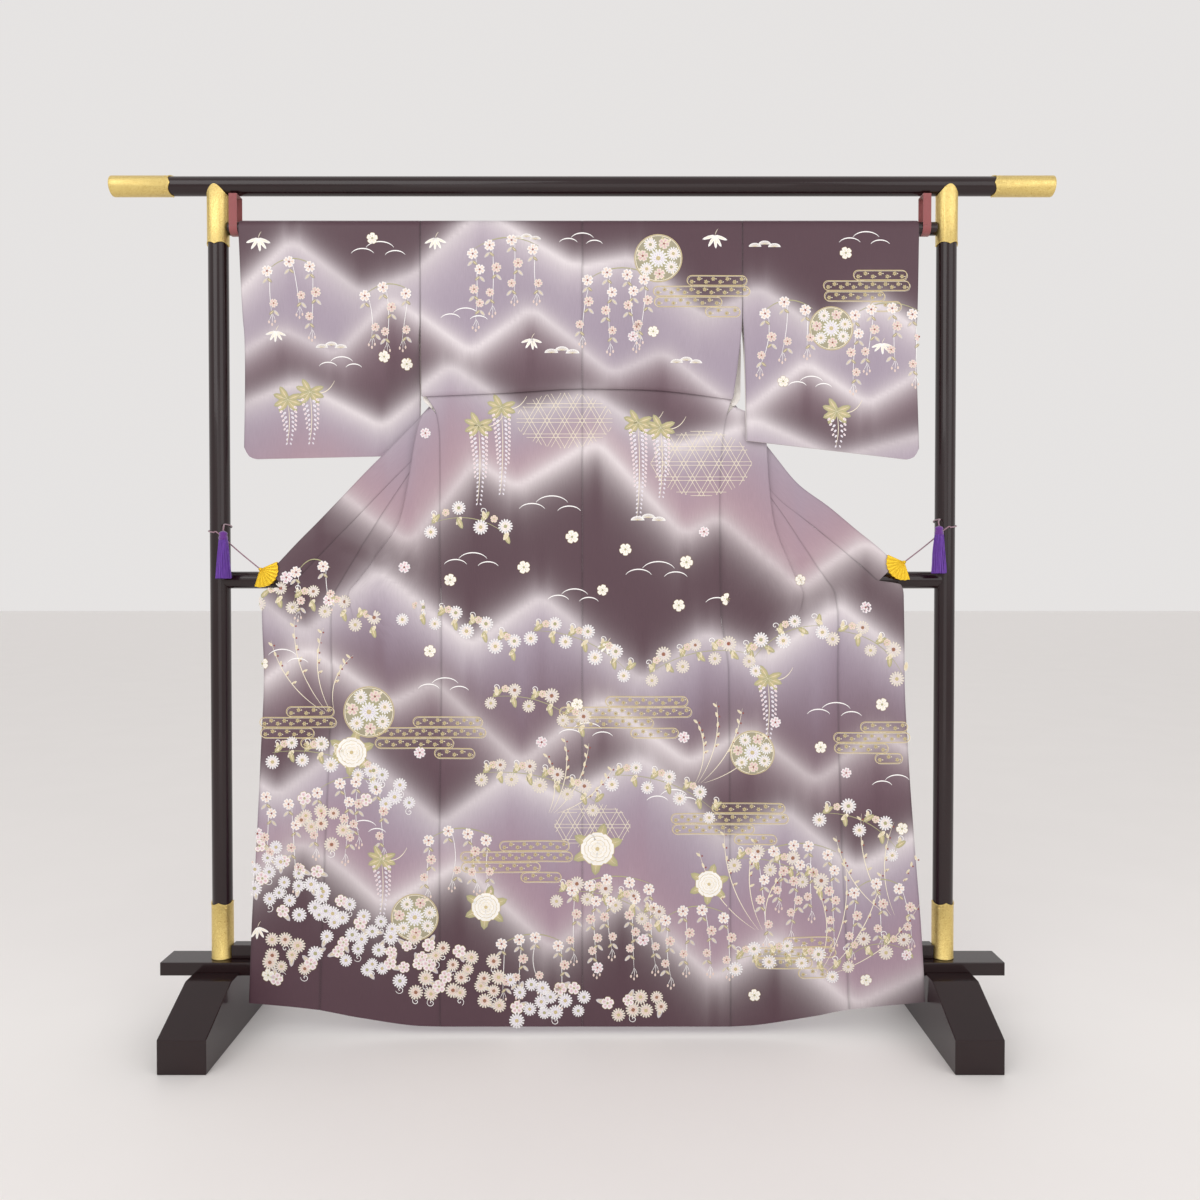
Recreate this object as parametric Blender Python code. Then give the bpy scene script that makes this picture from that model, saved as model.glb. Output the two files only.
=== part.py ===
"""A lined silk kimono spread on a lacquered display stand, seen from its back.

Units are metres, +Z is up, +X is to the viewer's right and the viewer stands at -Y. The origin
lies on the floor below the middle of the stand. The kimono hangs from a pole: its back hangs in
front of the pole, its fronts behind it, and below the arms the fronts are drawn out sideways in
pleats to two fan clips.
"""

import math

import bmesh
import bpy
import numpy as np

# Cloth
WALL = 0.0016
SEAM_GAP = 0.0004
PLEAT_GAP = 0.0034
COLLAR_WIDTH = 0.050
COLLAR_LAP = WALL + 0.0007
TUCK_DEPTH = 0.024
TUCK_TIP = 0.0022
TUCK_LEVEL = 1.270
FOLD_TIP = 0.0026
NECK_TOP = 1.59
NECK_EASE = 0.02

# Hanging pole
POLE_RADIUS = 0.013
POLE_HEIGHT = 1.599
POLE_HALF_LENGTH = 0.7035
FOLD_RADIUS = POLE_RADIUS + WALL / 2 + 0.0007

# Stand
CLEARANCE = 0.0003
POST_X = 0.725
POST_RADIUS = 0.0195
BEAM_RADIUS = 0.0185
BEAM_HEIGHT = 1.683
BEAM_HALF_LENGTH = 0.933
RAIL_RADIUS = 0.017
RAIL_HEIGHT = 0.900
BOARD_SIZE = (1.676, 0.062, 0.026)
BOARD_TOP = 0.141
STRETCHER_DEPTH = 0.024
STRETCHER_HEIGHT = 0.027
FOOT_WIDTH = 0.090
FOOT_HALF_LENGTH = 0.190
FOOT_TOE_HEIGHT = 0.064
FOOT_TOP = 0.121
FOOT_FLAT_HALF = 0.071
ROUND_SIDES = 32

# Metal fittings
FITTING_WALL = 0.0012
CAP_LENGTH = 0.122
CAP_EDGE = 0.0008
HEAD_FITTING_LOW = 1.563
FOOT_FITTING_TOP = 0.256
TONGUE_RISE = 0.016
SCALLOP = 0.005

# Strap, clip, cord and tassel
STRAP_X = {-1: 0.6905, 1: 0.6815}
STRAP_WIDTH = 0.016
STRAP_WALL = 0.0015
FAN_RADIUS = 0.036
FAN_LEAF = 0.0012
FAN_PLEATS = 9
FAN_JAW = WALL + COLLAR_LAP + 0.0010
FAN_PIVOT_RADIUS = 0.0035
FAN_LOW_ANGLE = 108
FAN_HIGH_ANGLE = -24
FAN_RELIEF = 0.0004
FAN_NOTCH = 0.0012
CORD_RADIUS = 0.0014
CORD_TURN_START = -10
CORD_TURN_END = 290
TASSEL_HEAD_RADIUS = 0.0085
TASSEL_LENGTH = 0.078
TASSEL_FLARE = 1.75
TASSEL_SIDES = 14
TASSEL_ROOT = 0.00035
TASSEL_GAP = 0.003
TASSEL_SWAY = 0.0012
TASSEL_NECK = 0.0180

# Depth of the cloth at each height: near is the plane of the back panels below the tuck, and far
# the plane that the fronts hang in. The back above the tuck has its own table.
DEPTH_COLUMNS = ("height", "near", "far")
DEPTHS = (
    (1.620, -0.0100, 0.0145),
    (1.500, -0.0130, 0.0110),
    (1.430, -0.0150, 0.0080),
    (1.350, -0.0165, 0.0040),
    (1.260, -0.0180, -0.0020),
    (1.180, -0.0200, -0.0080),
    (1.100, -0.0222, -0.0130),
    (1.020, -0.0255, -0.0180),
    (0.943, -0.0300, -0.0230),
    (0.870, -0.0322, -0.0262),
    (0.830, -0.0328, -0.0292),
    (0.790, -0.0332, -0.0318),
    (0.720, -0.0338, -0.0338),
    (0.500, -0.0360, -0.0360),
    (0.140, -0.0390, -0.0390),
    (0.000, -0.0375, -0.0375),
)
UPPER_BACK_COLUMNS = ("height", "depth")
UPPER_BACK = (
    (1.599, -FOLD_RADIUS),
    (1.450, -0.0182),
    (1.350, -0.0218),
    (1.240, -0.0250),
)

# The rise of the hem towards the front edges, and the line of the tuck across the back.
HEM_COLUMNS = ("x", "height")
HEM = ((0.000, 0.017), (0.290, 0.017), (0.460, 0.038), (0.520, 0.050), (0.680, 0.066))
HEM_FADE = 0.36
TUCK_COLUMNS = ("x", "height")
TUCK = ((-0.320, 1.261), (-0.133, 1.270), (0.000, 1.278), (0.115, 1.276), (0.320, 1.252))

# One row for each level of a front: the side seam or armhole edge, the outward pleat edge, the
# inward pleat edge, the overlap panel's seam and the outer edge below the collar. A zero stands
# where the collar's seam bounds the panel. The back's edge follows the same side column, less an
# inset beside the open slit above the side seam.
FRONT_COLUMNS = ("height", "side", "pleat_out", "pleat_in", "overlap_seam", "outer")
FRONT_LEFT = (
    (1.599, 0.3200, 0.2900, 0.1700, 0.0, 0.0),
    (1.550, 0.3200, 0.2850, 0.1720, 0.0, 0.0),
    (1.500, 0.3200, 0.2800, 0.1750, 0.0, 0.0),
    (1.430, 0.3195, 0.2700, 0.1750, 0.0, 0.0),
    (1.350, 0.3190, 0.2600, 0.1740, 0.0, 0.0),
    (1.300, 0.3180, 0.2650, 0.1400, 0.0, 0.0),
    (1.262, 0.3165, 0.2720, 0.1550, 0.0, 0.0),
    (1.225, 0.2880, 0.3170, 0.1800, 0.0, 0.0),
    (1.180, 0.2820, 0.3300, 0.2120, 0.2985, 0.0),
    (1.100, 0.2810, 0.3430, 0.2585, 0.3520, 0.0),
    (1.020, 0.2810, 0.3600, 0.2990, 0.4040, 0.0),
    (0.943, 0.2800, 0.4080, 0.3740, 0.4500, 0.0),
    (0.905, 0.2790, 0.4360, 0.4120, 0.4720, 0.6200),
    (0.870, 0.2780, 0.4600, 0.4430, 0.4900, 0.6330),
    (0.830, 0.2770, 0.4500, 0.4560, 0.4950, 0.6320),
    (0.790, 0.2770, 0.4100, 0.4400, 0.4950, 0.6300),
    (0.720, 0.2770, 0.3800, 0.4300, 0.4930, 0.6270),
    (0.550, 0.2790, 0.3750, 0.4250, 0.4990, 0.6340),
    (0.370, 0.2810, 0.3750, 0.4250, 0.5070, 0.6430),
    (0.200, 0.2810, 0.3750, 0.4250, 0.5130, 0.6520),
    (0.017, 0.2810, 0.3750, 0.4250, 0.5190, 0.6590),
)
FRONT_RIGHT = (
    (1.599, 0.3165, 0.2900, 0.1700, 0.0, 0.0),
    (1.550, 0.3165, 0.2850, 0.1720, 0.0, 0.0),
    (1.500, 0.3165, 0.2800, 0.1740, 0.0, 0.0),
    (1.430, 0.3160, 0.2700, 0.1730, 0.0, 0.0),
    (1.350, 0.3160, 0.2600, 0.1720, 0.0, 0.0),
    (1.300, 0.3150, 0.2650, 0.1400, 0.0, 0.0),
    (1.262, 0.3130, 0.2720, 0.1600, 0.0, 0.0),
    (1.225, 0.2860, 0.3350, 0.2000, 0.0, 0.0),
    (1.180, 0.2780, 0.3630, 0.2330, 0.2948, 0.0),
    (1.100, 0.2720, 0.3680, 0.2870, 0.3480, 0.0),
    (1.020, 0.2710, 0.3770, 0.3230, 0.4040, 0.0),
    (0.943, 0.2710, 0.4030, 0.3750, 0.4530, 0.0),
    (0.905, 0.2710, 0.4200, 0.4030, 0.4790, 0.6240),
    (0.870, 0.2710, 0.4350, 0.4270, 0.5000, 0.6350),
    (0.830, 0.2730, 0.4250, 0.4350, 0.5040, 0.6350),
    (0.790, 0.2785, 0.3900, 0.4250, 0.5040, 0.6350),
    (0.720, 0.2880, 0.3800, 0.4300, 0.5030, 0.6350),
    (0.550, 0.2900, 0.3800, 0.4300, 0.5060, 0.6430),
    (0.370, 0.2910, 0.3800, 0.4300, 0.5120, 0.6560),
    (0.200, 0.2920, 0.3850, 0.4350, 0.5190, 0.6680),
    (0.017, 0.2930, 0.3850, 0.4350, 0.5270, 0.6780),
)
INSET_COLUMNS = ("height", "left", "right")
BACK_INSET = (
    (1.599, 0.0, 0.0),
    (1.430, 0.0, 0.0),
    (1.350, 0.0, 0.0060),
    (1.300, 0.0, 0.0120),
    (1.262, 0.0, 0.0170),
    (1.225, 0.0, 0.0),
    (0.000, 0.0, 0.0),
)
PLEAT_START = 1.45
PLEAT_END = 0.81
PLEAT_FADE_TOP = 0.06
PLEAT_FADE_LOW = 0.05
PLEAT_TURN_TOP = 1.262
PLEAT_TURN_FADE = 0.035
SLIT_LOW = 1.30
SIDE_SEAM_TOP = 1.235
OVERLAP_TIP = 1.180

# The collar's free edge from the back neck to the clip, and how far the band has turned over: at
# 180 degrees its seam lies above the free edge, and at 0 degrees below it.
COLLAR_COLUMNS = ("x", "height", "turn")
COLLAR_LEFT = (
    (0.000, 1.5530, 180),
    (0.045, 1.5520, 180),
    (0.080, 1.5420, 168),
    (0.108, 1.5150, 145),
    (0.140, 1.4700, 112),
    (0.178, 1.4150, 74),
    (0.222, 1.3550, 38),
    (0.268, 1.2950, 14),
    (0.316, 1.2350, 3),
    (0.372, 1.1740, 0),
    (0.428, 1.1170, 0),
    (0.475, 1.0670, 0),
    (0.521, 1.0180, 0),
    (0.564, 0.9740, 0),
    (0.606, 0.9290, 0),
    (0.619, 0.9160, 0),
)
COLLAR_RIGHT = (
    (0.000, 1.5530, 180),
    (0.045, 1.5520, 180),
    (0.080, 1.5420, 168),
    (0.108, 1.5150, 145),
    (0.140, 1.4700, 112),
    (0.176, 1.4130, 74),
    (0.218, 1.3560, 38),
    (0.262, 1.3050, 14),
    (0.314, 1.2380, 3),
    (0.384, 1.1450, 0),
    (0.428, 1.0910, 0),
    (0.489, 1.0450, 0),
    (0.547, 0.9960, 0),
    (0.583, 0.9670, 0),
    (0.608, 0.9440, 0),
    (0.620, 0.9320, 0),
)

# One row for each level of a sleeve: the depth of the near and the far wall away from the body.
SLEEVE_COLUMNS = ("height", "near", "far")
SLEEVE_LEFT = (
    (1.599, -FOLD_RADIUS, FOLD_RADIUS),
    (1.500, -0.0105, 0.0130),
    (1.400, -0.0040, 0.0125),
    (1.300, 0.0020, 0.0115),
    (1.200, 0.0055, 0.0103),
    (1.130, 0.0070, 0.0091),
)
SLEEVE_RIGHT = (
    (1.599, -FOLD_RADIUS, FOLD_RADIUS),
    (1.500, -0.0190, 0.0020),
    (1.400, -0.0235, -0.0080),
    (1.300, -0.0280, -0.0180),
    (1.200, -0.0308, -0.0258),
    (1.130, -0.0320, -0.0299),
)
SLEEVE_EDGE_COLUMNS = ("height", "inner", "outer")
SLEEVE_EDGE_LEFT = (
    (1.620, 0.3204, 0.680),
    (1.415, 0.3204, 0.675),
    (1.380, 0.3225, 0.673),
    (1.150, 0.3260, 0.679),
)
SLEEVE_EDGE_RIGHT = (
    (1.620, 0.3169, 0.666),
    (1.415, 0.3169, 0.660),
    (1.380, 0.3190, 0.657),
    (1.150, 0.3230, 0.662),
)
SLEEVE_SEAM_LOW = 1.415
SLEEVE_SEAM_FADE = 0.11
SLEEVE_BLEND = 0.090
SLEEVE_CORNER = 0.028
SLEEVES = {
    -1: {"walls": SLEEVE_LEFT, "edges": SLEEVE_EDGE_LEFT, "hem_inner": 1.150, "hem_outer": 1.142},
    1: {"walls": SLEEVE_RIGHT, "edges": SLEEVE_EDGE_RIGHT, "hem_inner": 1.174, "hem_outer": 1.134},
}
FRONTS = {-1: FRONT_LEFT, 1: FRONT_RIGHT}
COLLARS = {-1: COLLAR_LEFT, 1: COLLAR_RIGHT}
SIDE_NAMES = {-1: "left", 1: "right"}
CLIPS = {
    -1: {"x": 0.6360, "height": 0.921, "tassel_x": 0.704, "tassel_top": 0.996},
    1: {"x": 0.6360, "height": 0.935, "tassel_x": 0.700, "tassel_top": 1.006},
}

# Finish of each material: colour as the eye sees it, roughness and metallic.
SILK = ((118, 98, 110), 0.50, 0.0)
COLLAR_SILK = ((104, 84, 96), 0.50, 0.0)
LACQUER = ((38, 28, 30), 0.15, 0.0)
GOLD = ((226, 196, 112), 0.30, 1.0)
FAN_GOLD = ((222, 184, 62), 0.30, 1.0)
STRAP_CLOTH = ((150, 84, 84), 0.80, 0.0)
CORD_CLOTH = ((150, 120, 130), 0.80, 0.0)
TASSEL_SILK = ((92, 36, 150), 0.60, 0.0)


def clear_scene():
    """Remove every object of the open scene."""
    for item in list(bpy.data.objects):
        bpy.data.objects.remove(item)


def material(name, finish):
    """Return a Principled material of one finish."""
    made = bpy.data.materials.get(name)
    if made:
        return made
    (red, green, blue), roughness, metallic = finish
    made = bpy.data.materials.new(name)
    made.use_nodes = True
    shader = made.node_tree.nodes["Principled BSDF"]
    linear = [(value / 255) ** 2.2 for value in (red, green, blue)]
    shader.inputs["Base Color"].default_value = (*linear, 1.0)
    shader.inputs["Roughness"].default_value = roughness
    shader.inputs["Metallic"].default_value = metallic
    return made


def place(name, shape, finish_name, finish):
    """Turn a bmesh into a named object with outward faces and its own material."""
    bmesh.ops.recalc_face_normals(shape, faces=shape.faces)
    mesh = bpy.data.meshes.new(name)
    shape.to_mesh(mesh)
    shape.free()
    mesh.materials.append(material(finish_name, finish))
    mesh.shade_smooth()
    mesh.set_sharp_from_angle(angle=math.radians(40))
    item = bpy.data.objects.new(name, mesh)
    bpy.context.collection.objects.link(item)
    return item


def column(table, names, name):
    """Return one named column of a table."""
    return np.array([row[names.index(name)] for row in table])


def along(table, names, name, at, key="height"):
    """Read a column of a table between its rows with a smooth curve that never overshoots."""
    keys = column(table, names, key)
    values = column(table, names, name)
    order = np.argsort(keys)
    keys = keys[order]
    values = values[order]
    at = np.clip(at, keys[0], keys[-1])
    rises = np.diff(values) / np.diff(keys)
    slopes = np.zeros(len(keys))
    turns = rises[:-1] * rises[1:] > 0
    mean = 2 * rises[:-1] * rises[1:] / np.where(turns, rises[:-1] + rises[1:], 1)
    slopes[1:-1] = np.where(turns, mean, 0)
    slopes[0] = rises[0]
    slopes[-1] = rises[-1]
    left = np.clip(np.searchsorted(keys, at, side="right") - 1, 0, len(keys) - 2)
    span = keys[left + 1] - keys[left]
    part = (at - keys[left]) / span
    start = (1 + 2 * part) * (1 - part) ** 2 * values[left]
    start_slope = part * (1 - part) ** 2 * span * slopes[left]
    end = part**2 * (3 - 2 * part) * values[left + 1]
    end_slope = part**2 * (part - 1) * span * slopes[left + 1]
    return start + start_slope + end + end_slope


def ease(value):
    """Return a soft step from 0 to 1."""
    value = np.clip(value, 0, 1)
    return value * value * (3 - 2 * value)


def wall_from_grid(points, thickness):
    """Give a grid of points, rows by columns, a wall: both faces and the rim round them."""
    down = np.gradient(points, axis=0)
    across = np.gradient(points, axis=1)
    normal = np.cross(down, across)
    normal /= np.linalg.norm(normal, axis=2, keepdims=True)
    rows, columns = points.shape[:2]
    shape = bmesh.new()
    sides = []
    for half in (-thickness / 2, thickness / 2):
        face = (points + normal * half).reshape(-1, 3)
        sides.append([shape.verts.new(point) for point in face])
    for verts in sides:
        for row in range(rows - 1):
            for cell in range(columns - 1):
                first = row * columns + cell
                corners = (first, first + 1, first + columns + 1, first + columns)
                shape.faces.new([verts[corner] for corner in corners])
    rim = list(range(columns))
    rim += [row * columns + columns - 1 for row in range(1, rows)]
    rim += [(rows - 1) * columns + cell for cell in range(columns - 2, -1, -1)]
    rim += [row * columns for row in range(rows - 2, 0, -1)]
    for here, there in zip(rim, rim[1:] + rim[:1]):
        shape.faces.new((sides[0][here], sides[0][there], sides[1][there], sides[1][here]))
    return shape


def lift_hem(points):
    """Raise the lowest stretch of cloth to the line of the hem."""
    rise = along(HEM, HEM_COLUMNS, "height", np.abs(points[..., 0]), "x") - HEM[0][1]
    fade = np.clip(1 - (points[..., 2] - HEM[0][1]) / HEM_FADE, 0, 1)
    points[..., 2] += rise * fade
    return points


def collar_edges(side):
    """Return the collar's seam edge and free edge, from the back neck to the clip, for x > 0."""
    table = COLLARS[side]
    x = column(table, COLLAR_COLUMNS, "x")
    height = column(table, COLLAR_COLUMNS, "height")
    turn = np.radians(column(table, COLLAR_COLUMNS, "turn"))
    run_x = np.gradient(x)
    run_z = np.gradient(height)
    run_z[0] = 0
    length = np.hypot(run_x, run_z)
    below_x = run_z / length
    below_z = -run_x / length
    seam_x = x + COLLAR_WIDTH * np.cos(turn) * below_x
    seam_z = height + COLLAR_WIDTH * np.cos(turn) * below_z
    seam_y = along(DEPTHS, DEPTH_COLUMNS, "far", seam_z) + COLLAR_LAP
    neck = ease((NECK_TOP - seam_z) / NECK_EASE)
    seam_y = seam_y * neck + (FOLD_RADIUS + FOLD_TIP) * (1 - neck)
    free_y = seam_y + COLLAR_WIDTH * np.sin(turn)
    seam = np.stack([seam_x, seam_y, seam_z], axis=1)
    free = np.stack([x, free_y, height], axis=1)
    return seam, free


def collar_seam_x(side, height):
    """Return how far from the centre the collar's seam lies at a height below the neck."""
    seam = collar_edges(side)[0][2:]
    return np.interp(height, seam[::-1, 2], seam[::-1, 0])


def front_section(side, level):
    """Return a front's section at a level, from the side seam through both pleats to its seam."""
    table = FRONTS[side]
    read = {name: float(along(table, FRONT_COLUMNS, name, level)) for name in FRONT_COLUMNS[1:4]}
    near = float(along(DEPTHS, DEPTH_COLUMNS, "near", level))
    far = float(along(DEPTHS, DEPTH_COLUMNS, "far", level))
    if level >= OVERLAP_TIP:
        edge = float(collar_seam_x(side, level)) - SEAM_GAP
    else:
        seams = [row for row in table if row[0] <= OVERLAP_TIP]
        edge = float(along(seams, FRONT_COLUMNS, "overlap_seam", level)) - SEAM_GAP / 2
    top = ease((PLEAT_START - level) / PLEAT_FADE_TOP)
    pleated = float(top * ease((level - PLEAT_END) / PLEAT_FADE_LOW))
    joined = float(ease((SLIT_LOW - level) / (SLIT_LOW - SIDE_SEAM_TOP)))
    turned = pleated * float(ease((PLEAT_TURN_TOP - level) / PLEAT_TURN_FADE))
    middle = far - PLEAT_GAP * pleated
    side_y = middle * (1 - joined) + near * joined
    out_y = middle * (1 - turned) + near * turned
    out_back = out_y + PLEAT_GAP * turned
    calm = float(ease((PLEAT_END + PLEAT_FADE_LOW - level) / PLEAT_FADE_LOW))
    out_y = out_y * (1 - calm) + (near * 0.7 + far * 0.3) * calm
    out_back = out_back * (1 - calm) + (near * 0.6 + far * 0.4) * calm
    middle = middle * (1 - calm) + (near * 0.3 + far * 0.7) * calm
    start = read["side"] + SEAM_GAP / 2
    out = read["pleat_out"]
    inward = read["pleat_in"]
    before = start + (out - start) * 0.5
    first_way = np.sign(out - start)
    second_way = np.sign(inward - out)
    third_way = np.sign(edge - inward)
    knots = [
        (start, side_y),
        (before, (side_y + out_y) / 2),
        (out - first_way * FOLD_TIP, out_y),
        (out, (out_y + out_back) / 2),
        (out + second_way * FOLD_TIP, out_back),
        (out + (inward - out) * 0.5, (out_back + middle) / 2),
        (inward - second_way * FOLD_TIP, middle),
        (inward, (middle + far) / 2),
        (inward + third_way * FOLD_TIP, far),
        (inward + (edge - inward) * 0.35, far),
        (inward + (edge - inward) * 0.7, far),
        (edge, far),
    ]
    return np.array([(side * x, y, level) for x, y in knots])


def back_rows(side):
    """Return the back's rows, from the hem through the tuck to the top of the pole."""
    columns = len(front_section(side, 1.0))
    across = np.linspace(1, 0, columns)
    rows = []

    def row(height, depth):
        edge = along(FRONTS[side], FRONT_COLUMNS, "side", height) - SEAM_GAP / 2
        edge -= along(BACK_INSET, INSET_COLUMNS, SIDE_NAMES[side], height)
        x = side * (SEAM_GAP / 2 + across * (edge - SEAM_GAP / 2))
        rows.append(np.stack([x, x * 0 + depth, x * 0 + height], axis=1))

    low = (0.017, 0.080, 0.200, 0.370, 0.550, 0.720, 0.790, 0.830, 0.943, 1.020, 1.100, 1.180, 1.225)
    for height in low:
        row(height, float(along(DEPTHS, DEPTH_COLUMNS, "near", height)))
    line = along(TUCK, TUCK_COLUMNS, "height", rows[-1][:, 0], "x")
    inner = float(along(DEPTHS, DEPTH_COLUMNS, "near", 1.29))
    turns = (
        (TUCK_DEPTH - TUCK_TIP, 0.0),
        (TUCK_DEPTH, -PLEAT_GAP / 2),
        (TUCK_DEPTH - TUCK_TIP, -PLEAT_GAP),
        (TUCK_TIP, -PLEAT_GAP),
        (0.0, -PLEAT_GAP * 1.5),
        (TUCK_TIP, -PLEAT_GAP * 2),
    )
    for rise, depth in turns:
        row(TUCK_LEVEL + rise, inner + depth)
        rows[-1][:, 2] = line + rise
    for height in (1.330, 1.415, 1.500, 1.560, POLE_HEIGHT):
        row(height, float(along(UPPER_BACK, UPPER_BACK_COLUMNS, "depth", height)))
    return rows


def body_grid(side):
    """Return a body panel: back, fold over the pole and pleated front, cut in one length."""
    rows = back_rows(side)
    top_front = front_section(side, POLE_HEIGHT)
    top_back = rows[-1]
    for angle in (30, 60, 90, 120, 150):
        turn = math.radians(angle)
        ring = top_back.copy()
        ring[:, 1] = -FOLD_RADIUS * math.cos(turn)
        ring[:, 2] = POLE_HEIGHT + FOLD_RADIUS * math.sin(turn)
        rows.append(ring)
    top_front[:, 1] = FOLD_RADIUS
    rows.append(top_front)
    for level in [line[0] for line in FRONTS[side]][1:]:
        rows.append(front_section(side, level))
    return lift_hem(np.array(rows))


def overlap_grid(side):
    """Return an overlap panel, from its tip under the collar to the hem."""
    table = FRONTS[side]
    levels = [OVERLAP_TIP - drop for drop in (0.015, 0.040, 0.120)]
    levels += [row[0] for row in table if row[0] < OVERLAP_TIP]
    seams = [row for row in table if row[0] <= OVERLAP_TIP]
    seam_end = collar_edges(side)[0][-1, 2]
    outer = [row for row in table if row[5] > 0]
    levels += [seam_end + 0.004, seam_end - 0.006]
    rows = []
    for level in sorted(set(levels), reverse=True):
        start = float(along(seams, FRONT_COLUMNS, "overlap_seam", level)) + SEAM_GAP / 2
        if level > seam_end:
            edge = float(collar_seam_x(side, level)) - SEAM_GAP
        else:
            edge = float(along(outer, FRONT_COLUMNS, "outer", level))
        x = side * np.linspace(start, edge, 5)
        depth = float(along(DEPTHS, DEPTH_COLUMNS, "far", level))
        rows.append(np.stack([x, x * 0 + depth, x * 0 + level], axis=1))
    return lift_hem(np.array(rows))


def collar_grid(side):
    """Return half of the collar, a band from the centre of the back neck to the clip."""
    seam, free = collar_edges(side)
    seam[0, 0] = free[0, 0] = SEAM_GAP / 2
    parts = np.linspace(0, 1, 4)[None, :, None]
    grid = seam[:, None, :] * (1 - parts) + free[:, None, :] * parts
    return grid * (side, 1, 1)


def sleeve_grid(side):
    """Return a sleeve: near wall, fold over the pole and far wall, cut in one length."""
    sleeve = SLEEVES[side]
    across = np.array([0, 0.05, 0.15, 0.3, 0.5, 0.7, 0.85, 0.93, 0.97, 1.0])
    outer = float(sleeve["edges"][0][2])
    reach = across * (outer - 0.32)
    corner = np.clip(1 - (outer - 0.32 - reach) / SLEEVE_CORNER, 0, 1)
    lift = SLEEVE_CORNER * (1 - np.sqrt(1 - corner**2 * 0.98))
    hem = sleeve["hem_inner"] + (sleeve["hem_outer"] - sleeve["hem_inner"]) * across + lift

    def row(part, wall):
        height = hem + (POLE_HEIGHT - hem) * part
        low = along(sleeve["edges"], SLEEVE_EDGE_COLUMNS, "inner", height)
        high = along(sleeve["edges"], SLEEVE_EDGE_COLUMNS, "outer", height)
        x = low + (high - low) * across
        free = along(sleeve["walls"], SLEEVE_COLUMNS, wall, height)
        if wall == "near":
            sewn = along(UPPER_BACK, UPPER_BACK_COLUMNS, "depth", height)
        else:
            pleated = ease((PLEAT_START - height) / PLEAT_FADE_TOP)
            sewn = along(DEPTHS, DEPTH_COLUMNS, "far", height) - PLEAT_GAP * pleated
        hold = 1 - ease((x - low) / SLEEVE_BLEND)
        hold = hold * ease((height - SLEEVE_SEAM_LOW) / SLEEVE_SEAM_FADE + 1)
        depth = free * (1 - hold) + sewn * hold
        return np.stack([side * x, depth, height], axis=1)

    parts = (0, 0.06, 0.15, 0.27, 0.4, 0.5, 0.59, 0.68, 0.78, 0.9, 1.0)
    rows = [row(part, "near") for part in parts]
    rows[-1][:, 1] = -FOLD_RADIUS
    for angle in (36, 72, 108, 144):
        turn = math.radians(angle)
        ring = rows[len(parts) - 1].copy()
        ring[:, 1] = -FOLD_RADIUS * math.cos(turn)
        ring[:, 2] = POLE_HEIGHT + FOLD_RADIUS * math.sin(turn)
        rows.append(ring)
    far = [row(part, "far") for part in reversed(parts)]
    far[0][:, 1] = FOLD_RADIUS
    return np.array(rows + far)


def rings_to_shape(rings, closed_ends=True):
    """Join rings of equal length into a skin, with a fan over each end or a loop of rings."""
    shape = bmesh.new()
    made = [[shape.verts.new(point) for point in ring] for ring in rings]
    pairs = list(zip(made, made[1:]))
    if not closed_ends:
        pairs.append((made[-1], made[0]))
    for first, second in pairs:
        count = len(first)
        for here in range(count):
            there = (here + 1) % count
            shape.faces.new((first[here], first[there], second[there], second[here]))
    if closed_ends:
        for ring in (made[0], made[-1]):
            middle = shape.verts.new(np.mean([tuple(vert.co) for vert in ring], axis=0))
            for here in range(len(ring)):
                shape.faces.new((ring[here], ring[(here + 1) % len(ring)], middle))
    return shape


def angles(sides=ROUND_SIDES):
    """Return the angles of a ring's points, starting at the viewer's side."""
    return np.arange(sides) * 2 * np.pi / sides


def bar_ring(radius, at):
    """Return a ring round the X axis: radius from the axis, at is its place along X."""
    turn = angles()
    return np.stack([turn * 0 + at, -radius * np.cos(turn), radius * np.sin(turn)], axis=1)


def post_ring(radius, at):
    """Return a ring round the Z axis: radius from the axis, at is its height."""
    turn = angles()
    return np.stack([radius * np.sin(turn), -radius * np.cos(turn), turn * 0 + at], axis=1)


def bar(name, radius, half_length, height, bevel=0.001):
    """Make a round bar along X."""
    rings = [
        bar_ring(radius - bevel, -half_length),
        bar_ring(radius, -half_length + bevel),
        bar_ring(radius, half_length - bevel),
        bar_ring(radius - bevel, half_length),
    ]
    item = place(name, rings_to_shape(rings), "lacquer", LACQUER)
    item.location = (0, 0, height)
    return item


def middle_rail():
    """Make the rail between the posts, each end hollowed to the post's round."""
    rings = []
    for way in (-1, 1):
        end = []
        for radius in (0.006, 0.0115, 0.0145, 0.0162, RAIL_RADIUS):
            ring = bar_ring(radius, 0)
            hollow = np.sqrt((POST_RADIUS + CLEARANCE) ** 2 - ring[:, 1] ** 2)
            ring[:, 0] = way * (POST_X - hollow - CLEARANCE)
            end.append(ring)
        rings += end if way < 0 else end[::-1]
    item = place("middle_rail", rings_to_shape(rings), "lacquer", LACQUER)
    item.location = (0, 0, RAIL_HEIGHT)


def posts():
    """Make both posts, from the board to the beam."""
    low = BOARD_TOP + CLEARANCE
    high = BEAM_HEIGHT - BEAM_RADIUS - CLEARANCE
    for side, name in SIDE_NAMES.items():
        rings = [post_ring(POST_RADIUS, low), post_ring(POST_RADIUS, high)]
        item = place(f"post_{name}", rings_to_shape(rings), "lacquer", LACQUER)
        item.location = (side * POST_X, 0, 0)


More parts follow.
